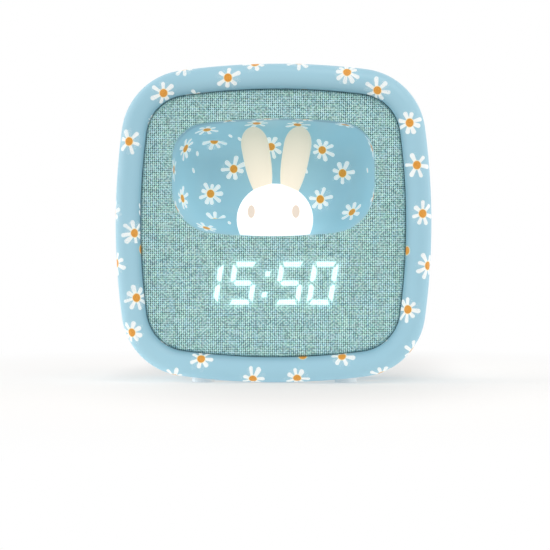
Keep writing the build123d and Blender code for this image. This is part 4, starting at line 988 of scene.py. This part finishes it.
def ear_mesh(side):
    """Flattened ear, leaning outwards, with its root inside the dome."""
    body = [EAR_BODY * k / EAR_BODY_RINGS for k in range(EAR_BODY_RINGS + 1)]
    tip = [EAR_BODY + (1 - EAR_BODY) * math.sin(math.pi / 2 * k / EAR_TIP_RINGS)
           for k in range(1, EAR_TIP_RINGS)]
    lean = side * EAR_TILT
    root = Vector((EAR_SHIFT + side * EAR_X, HEAD_Y, EAR_ROOT_Z))
    across, up = Vector((math.cos(lean), 0, -math.sin(lean))), Vector((math.sin(lean), 0, math.cos(lean)))
    rings = []
    for share in body + tip:
        ring = []
        for k in range(EAR_AROUND):
            turn = 2 * math.pi * k / EAR_AROUND
            wide, deep = ear_width(share) * math.cos(turn), ear_width(share) * EAR_FLAT * math.sin(turn)
            ring.append(root + across * wide + Vector((0, deep, 0)) + up * share * EAR_LENGTH)
        rings.append(ring)
    mesh = rings_mesh("ear", rings, (root, root + up * EAR_LENGTH))
    soften(mesh, 60)
    return mesh


dress(silicone("White silicone, lit", srgb(150, 150, 148), srgb(144, 144, 142), srgb(250, 249, 247)),
      "bunny_head")
dress(silicone("Beige inlay, lit", srgb(150, 138, 128), srgb(146, 134, 124), srgb(200, 188, 174)),
      "bunny_eyes")
# The ears' glow is painted, brighter at the root than at the tip.
ivory = silicone("Ivory silicone", srgb(150, 148, 138), srgb(146, 144, 134), srgb(180, 180, 163),
                 srgb(217, 207, 187))
for label, side in (("left", -1), ("right", 1)):
    ear = ear_mesh(side)
    ear.materials.append(ivory)
    place("ear_" + label, ear, "housing", "lamp_ivory", "bunny_ear_" + label)


TRACK_PITCH = 1.7
TRACK_LENGTH = 4.2


def board_laminate(name):
    """Green solder mask over copper tracks that show as raised paler lines."""
    finish = Finish(name)
    spot = finish.spot()
    x, y, z = finish.parts(spot)
    lane = (x + y * 0.5) / (TRACK_PITCH * MM)
    branch = (finish.chance(lane.floor(), (z / (TRACK_LENGTH * MM)).floor()) * 3).floor()
    track = (lane.fract() - 0.3 - branch * 0.15).size().step(0.09, 0.05)
    colour = track.tint(srgb(18, 78, 48), srgb(38, 112, 66))
    return finish.shell(base_color=colour, roughness=finish.noise(spot, 400.0).step(0.3, 0.7, 0.3, 0.42),
                        normal=finish.bump(track, 0.04 * MM, 0.6))


green_board = board_laminate("Green laminate")
white_chip = moulding("White chip resin", srgb(240, 236, 196), srgb(232, 226, 180), 0.3, 1800.0, 0.005)
dress(green_board, "lamp_board")
dress(white_chip, "lamp_leds")


# ---- Display ----
# A white reflector with a cell of clear resin for each bar, behind a diffusing film on the baffle.
# Foam seals it against stray light, and small screws hold its board to posts on the baffle.

dress(moulding("White reflector", srgb(230, 232, 230), srgb(222, 225, 224), 0.45, 1800.0, 0.01),
      "display_reflector")
dress(moulding("Lit resin", srgb(232, 250, 252), srgb(224, 246, 250), 0.25, 1200.0, 0.01,
               emission_color=srgb(214, 250, 252), emission_strength=0.8), "segments_lit")
dress(moulding("Unlit resin", srgb(176, 190, 192), srgb(166, 182, 185), 0.25, 1200.0, 0.01), "segments_unlit")
dress(moulding("Diffusing film", srgb(220, 226, 226), srgb(212, 220, 220), 0.6, 2200.0, 0.01),
      "diffuser_film")
dress(moulding("Black foam", srgb(38, 38, 40), srgb(26, 26, 28), 0.9, 1400.0, 0.15), "display_gasket")
dress(green_board, "display_board")
dress(white_chip, "display_leds")
dress(zinc, "display_screws")


# ---- Main board, speaker and cell ----
# The rear cover carries the board with its switches, sockets and leads, and the speaker behind the
# grille. The cell lies in a cradle below them, and a copper foil under the top wall feels a touch.

black_resin = moulding("Black epoxy", srgb(34, 34, 36), srgb(26, 26, 28), 0.45, 2600.0, 0.01)
drawn_can = metal("Drawn steel can", srgb(206, 208, 210), srgb(182, 184, 188), 0.28)
dress(green_board, "main_board")
dress(black_resin, "microcontroller", "key_switch_bodies")
dress(drawn_can, "clock_crystal", "usb_socket")
dress(moulding("Natural nylon", srgb(226, 221, 206), srgb(218, 212, 196), 0.5, 1600.0, 0.01),
      "board_connectors")
dress(moulding("Lead sleeve", srgb(44, 44, 47), srgb(34, 34, 36), 0.5, 1500.0, 0.01), "board_leads")
dress(moulding("Black painted steel", srgb(40, 40, 42), srgb(30, 30, 32), 0.4, 1500.0, 0.02), "speaker_frame")
dress(moulding("Pressed paper", srgb(54, 52, 50), srgb(42, 41, 40), 0.85, 700.0, 0.12), "speaker_cone")
dress(moulding("Ferrite", srgb(74, 74, 78), srgb(60, 60, 64), 0.6, 1800.0, 0.04), "speaker_magnet")
dress(moulding("Blue shrink wrap", srgb(60, 112, 160), srgb(52, 102, 150), 0.25, 500.0, 0.03), "battery_cell")
dress(slate_abs, "cell_cradle")
dress(metal("Copper foil", srgb(214, 150, 104), srgb(192, 128, 84), 0.3), "touch_electrode")
dress(zinc, "board_screws", "speaker_screws")


# ---- Rear cover, keys and feet ----
# The plain back half of the casing in the same blue ABS, with the speaker's grille, four keys that
# slide in it, the charging socket, four screw wells and silicone pads underneath.

dress(moulding("Plain blue ABS", srgb(160, 206, 224), srgb(155, 202, 221), 0.4, 2400.0, 0.012, ior=1.46),
      "rear_cover")
dress(moulding("White key", srgb(240, 243, 243), srgb(233, 237, 238), 0.38, 2200.0, 0.01),
      "set_button", "down_button", "up_button", "alarm_button")
dress(moulding("Grey plunger", srgb(206, 206, 202), srgb(196, 196, 192), 0.45, 1800.0, 0.01),
      "set_plunger", "down_plunger", "up_plunger", "alarm_plunger")
dress(moulding("Pale silicone pads", srgb(234, 236, 238), srgb(228, 231, 233), 0.6, 1300.0, 0.04),
      "foot_pads")
dress(zinc, "casing_screws")


# ---- Floor, light and camera ----
# A pale seamless floor with one large softbox high on the right, and light from both sides. The
# floor keeps the clock's soft shadow, with more shade painted into its glow near the clock, and
# melts into a white studio further off.

FLOOR_REACH = 4.0
SHADE_X, SHADE_Y = 0.014, -0.05
SHADE_HALF_X, SHADE_HALF_Y = 0.08, 0.18
KEY_SPOT = (0.25, -0.55, 0.75)
KEY_AIM = (0, 0, 0.06)
KEY_SIZE = 0.6
KEY_POWER = 2.9
LENS = 123
SENSOR = 36


def seen_by_eye(finish):
    """1 for rays that show a thing itself, also in a gloss or through a clear piece; 0 for its light."""
    path = finish.node("ShaderNodeLightPath", {}, {})
    camera, glossy, clear = [Value(finish, path.outputs["Is " + kind + " Ray"])
                             for kind in ("Camera", "Glossy", "Transmission")]
    return camera.most(glossy).most(clear)


def studio_floor():
    """Pale floor that keeps the clock's shadow, with more painted into its glow near the clock, and melts
    into white further off.
    """
    finish = Finish("Pale floor")
    x, y, _ = finish.parts(finish.spot())
    away = (x * x + y * y * 0.6).root()
    far = away.step(0.075, 0.24)
    under_x, under_y = (x - SHADE_X) / SHADE_HALF_X, (y - SHADE_Y) / SHADE_HALF_Y
    # Painted shadow: the floor's glow dims in an oval round the clock, and more just behind it.
    shade = (under_x * under_x + under_y * under_y).root().step(0.15, 1.0, 0.44, 0.54)
    shade = shade * (1 - y.step(-0.03, 0.03) * (x * x).step(0.0014, 0.0055, 0.28, 0.0))
    seen = seen_by_eye(finish)
    bounce = (1 - seen) * away.step(0.04, 0.1, 0.22, 0.0)
    light = (shade * away.step(0.1, 0.5, 1.0, 0.3) + bounce).tint(BLACK, WHITE)
    paper = finish.node("ShaderNodeBsdfPrincipled", {}, {
        "Base Color": (0.44, 0.425, 0.41, 1), "Roughness": 0.9, "Specular IOR Level": 0.0,
        "Emission Color": light, "Emission Strength": 1.0})
    white = finish.node("ShaderNodeEmission", {}, {"Color": WHITE, "Strength": 1.0})
    mix = finish.node("ShaderNodeMixShader", {}, {
        0: far * seen, 1: Value(finish, paper.outputs[0]), 2: Value(finish, white.outputs[0])})
    finish.node("ShaderNodeOutputMaterial", {}, {0: Value(finish, mix.outputs[0])})
    return finish.material


def studio_air(world):
    """White to the eye; as light, brightest from the two sides."""
    air = Finish("Studio", world)
    across, back, _ = air.parts(Value(air, air.node("ShaderNodeTexCoord", {}, {}).outputs["Generated"]))
    square = across * across
    level = square * square * across.step(0.3, -0.3, 2.45, 4.25) + back.step(0.0, 1.0, 0.22, 1.2)
    seen = seen_by_eye(air)
    glow = air.node("ShaderNodeBackground", {}, {"Color": WHITE, "Strength": level * (1 - seen) + seen})
    air.node("ShaderNodeOutputWorld", {}, {0: Value(air, glow.outputs[0])})


ground = bpy.data.meshes.new("floor")
corners = [(sx * FLOOR_REACH, sy * FLOOR_REACH, 0) for sx, sy in ((-1, -1), (1, -1), (1, 1), (-1, 1))]
ground.from_pydata(corners, [], [(0, 1, 2, 3)])
ground.materials.append(studio_floor())
floor = bpy.data.objects.new("floor", ground)
bpy.context.scene.collection.objects.link(floor)

bpy.context.scene.world = bpy.data.worlds.new("Studio")
studio_air(bpy.context.scene.world)

softbox = bpy.data.lights.new("key", "AREA")
softbox.shape = "SQUARE"
softbox.size = KEY_SIZE
softbox.energy = KEY_POWER
key = bpy.data.objects.new("key", softbox)
bpy.context.scene.collection.objects.link(key)
key.location = KEY_SPOT
key.rotation_euler = (Vector(KEY_AIM) - Vector(KEY_SPOT)).to_track_quat("-Z", "Y").to_euler()

camera_data = bpy.data.cameras.new("camera")
camera_data.lens = LENS
camera_data.sensor_width = SENSOR
camera = bpy.data.objects.new("camera", camera_data)
bpy.context.scene.collection.objects.link(camera)
camera.location = EYE
camera.rotation_euler = (math.pi / 2, 0, CAMERA_TURN)
bpy.context.scene.camera = camera
bpy.context.scene.view_settings.view_transform = "Standard"
